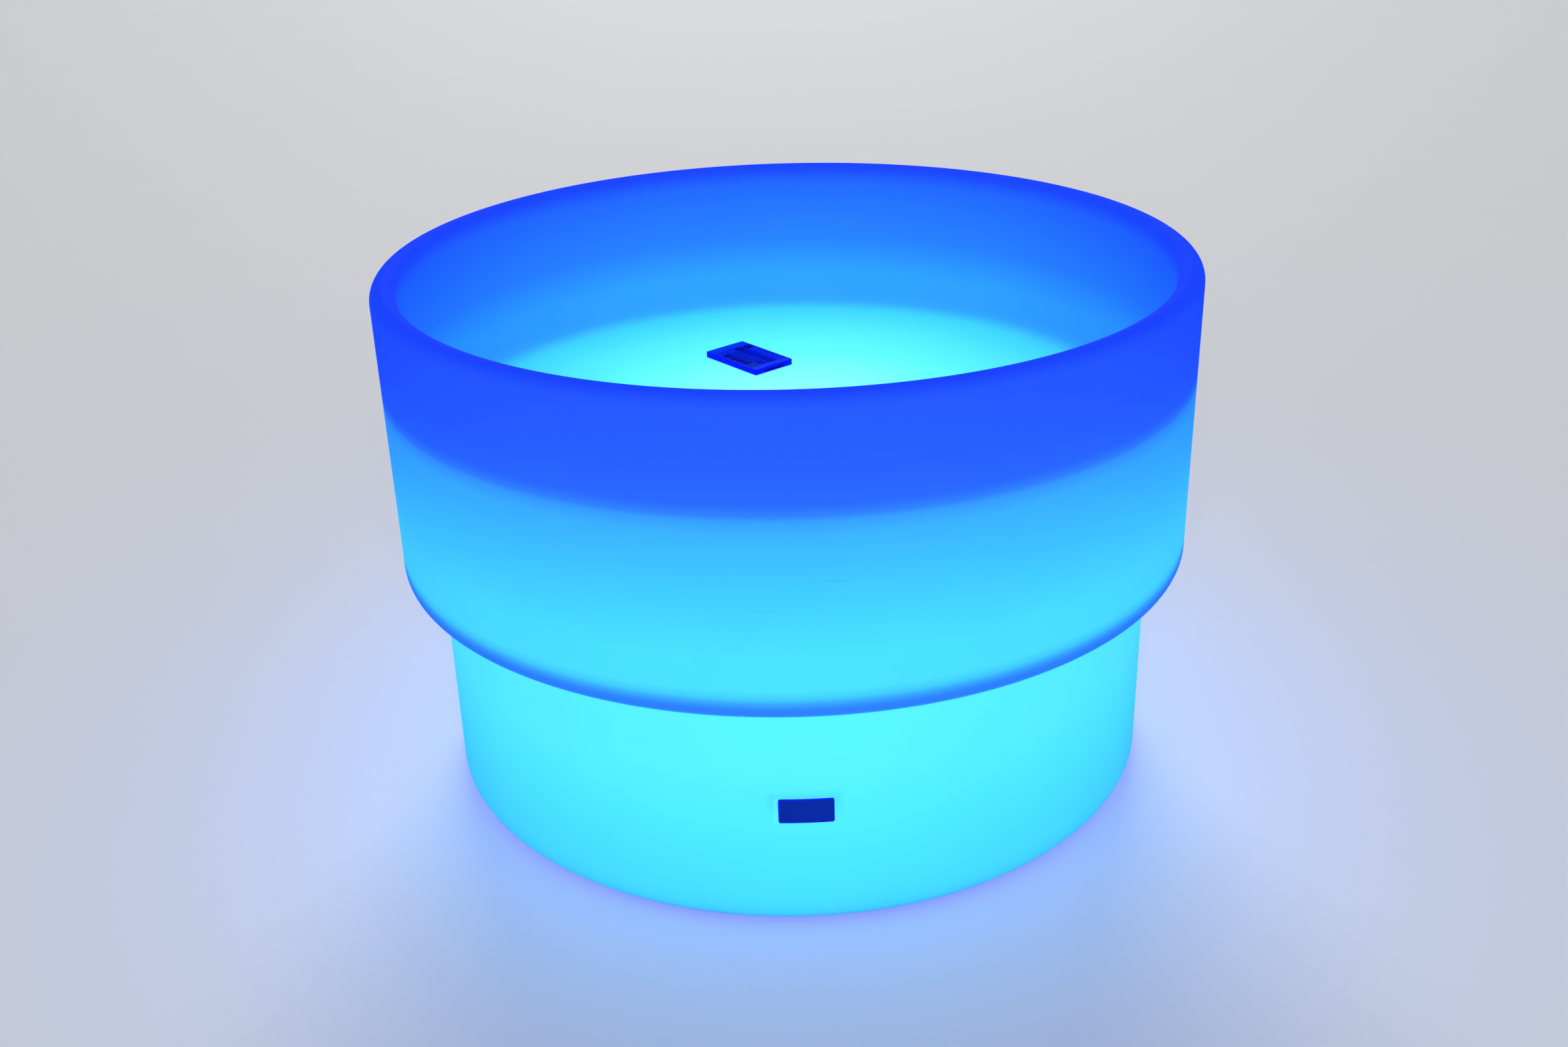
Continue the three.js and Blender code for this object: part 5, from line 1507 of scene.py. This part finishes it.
class BOWLTABLE_OT_keys(bpy.types.Operator):
    """Build the remote's keys, each on its own body, with plain generic marks"""
    bl_idname = "bowl_table.keys"
    bl_label = "Keys"

    def execute(self, context):
        look = settings().remote
        finishes = {tone: lit_plastic(f"Key, {tone}", 0.7, getattr(look, f"key_{tone}"))
                    for tone in KEY_TONES}
        dark_print = lit_plastic("Key print", 0.6, look.mark)
        pale_print = lit_plastic("Key print on dark", 0.6, look.mark_pale)
        for row, names in enumerate(KEY_ROWS):
            for column, (name, tone) in enumerate(names):
                node = f"key_{name}"
                slot = KEY_SLOTS.get(name, "key_pale" if tone == "pale" else node)
                build_remote(node, slot, f"{name}_cap", key_mesh(name, key_spot(row, column)),
                             finishes[tone], pale_print if tone == "dark" else dark_print,
                             body=node)
        return {"FINISHED"}


# Stage

FLOOR_WIDTH = 40
FLOOR_CORNER = 19
FLOOR_THICKNESS = 20 * MM
SENSOR_WIDTH = 36
CLIP_START = 0.01


def seen_ray(wires):
    """1 for what the camera sees, straight or through gloss and glass."""
    rays = wires.node("ShaderNodeLightPath").outputs
    seen = wires.math("MAXIMUM", rays["Is Camera Ray"], rays["Is Glossy Ray"])
    return wires.math("MAXIMUM", seen, rays["Is Transmission Ray"])


def floor_material(shade, bounce):
    """Plain pale floor with a very faint grain. It throws back less light than it shows."""
    made = Finish("Pale floor", shade, 0.75, specular=0.1)
    shown = made.mix(seen_ray(made), bounce, shade)
    made.give("Base Color", made.mottled(shown, scale=3, amount=0.02))
    made.pebbled(scale=200, wave=1, depth=0.05 * MM)
    return made


def pale_world(level, backdrop):
    """Even light on the object, and a pale backdrop where the camera looks past it."""
    world = bpy.data.worlds.new("Pale studio")
    world.use_nodes = True
    world.node_tree.nodes.clear()
    wires = Wires(world.node_tree)
    even, shown = (wires.node("ShaderNodeBackground", {"Color": shade, "Strength": strength})
                   for shade, strength in ((grey(1), level), (backdrop, 1)))
    parts = {0: seen_ray(wires), 1: even.outputs[0], 2: shown.outputs[0]}
    both = wires.node("ShaderNodeMixShader", parts)
    wires.node("ShaderNodeOutputWorld", {"Surface": both.outputs[0]})
    return world


def soft_light(name, strength, stage, turn):
    """A distant soft light that shines on the table from an angle above the floor."""
    lamp = bpy.data.lights.new(name, "SUN")
    lamp.energy = strength
    lamp.angle = stage.softness
    linked(name, lamp).rotation_euler = (math.pi / 2 - stage.light_rise, 0, turn)


class BOWLTABLE_OT_stage(bpy.types.Operator):
    """Build the pale floor, the studio light and the camera"""
    bl_idname = "bowl_table.stage"
    bl_label = "Stage"

    def execute(self, context):
        stage = settings().stage
        scene = bpy.context.scene
        outline = rounded_outline(FLOOR_WIDTH, FLOOR_WIDTH, FLOOR_CORNER, steps=24)
        mesh = prism(outline, -FLOOR_THICKNESS, 0)
        smooth(mesh)
        mesh.materials.append(floor_material(stage.floor, stage.bounce).material)
        floor = linked("pale_floor", mesh)
        scene.world = pale_world(stage.world_level, stage.backdrop)
        soft_light("Key light", stage.key_level, stage, 0)
        soft_light("Back light", stage.back_level, stage, math.pi)
        camera = linked("Photo camera", bpy.data.cameras.new("Photo camera"))
        camera.data.lens = stage.lens
        camera.data.sensor_width = SENSOR_WIDTH
        camera.data.clip_start = CLIP_START
        spot = Matrix.Translation((0, -stage.distance, stage.height))
        turn = Matrix.Rotation(stage.yaw, 4, "Z")
        tilt = Matrix.Rotation(math.pi / 2 - stage.pitch, 4, "X")
        camera.matrix_world = spot @ (turn @ tilt) @ Matrix.Rotation(stage.roll, 4, "Z")
        scene.camera = camera
        scene.view_settings.view_transform = "Standard"
        return {"FINISHED"}


# Panel, sizes and main

STEPS = [BOWLTABLE_OT_body, BOWLTABLE_OT_plate, BOWLTABLE_OT_feet, BOWLTABLE_OT_light_unit,
         BOWLTABLE_OT_light_parts, BOWLTABLE_OT_remote, BOWLTABLE_OT_keys, BOWLTABLE_OT_stage]


class BOWLTABLE_PT_steps(bpy.types.Panel):
    """Lists the steps that build the table, with their settings"""
    bl_idname = "BOWLTABLE_PT_steps"
    bl_label = "Light-up bowl table"
    bl_space_type = "VIEW_3D"
    bl_region_type = "UI"
    bl_category = "Bowl Table"

    def draw(self, context):
        for step in STEPS:
            self.layout.operator(step.bl_idname)
        table = context.scene.bowl_table
        for name in TableSettings.__annotations__:
            group = getattr(table, name)
            box = self.layout.box()
            box.label(text=name.capitalize())
            for label in type(group).__annotations__:
                box.prop(group, label)


CLASSES = [BodySizes, GlowColors, PlateSettings, UnderSettings, RemoteSettings, StageSettings,
           TableSettings, *STEPS, BOWLTABLE_PT_steps]


def register():
    for made in CLASSES:
        bpy.utils.register_class(made)
    bpy.types.Scene.bowl_table = PointerProperty(type=TableSettings)


def unregister():
    del bpy.types.Scene.bowl_table
    for made in reversed(CLASSES):
        bpy.utils.unregister_class(made)


def main():
    register()
    bpy.ops.bowl_table.body()
    bpy.ops.bowl_table.plate()
    bpy.ops.bowl_table.feet()
    bpy.ops.bowl_table.light_unit()
    bpy.ops.bowl_table.light_parts()
    bpy.ops.bowl_table.remote()
    bpy.ops.bowl_table.keys()
    bpy.ops.bowl_table.stage()


if __name__ == "__main__":
    main()
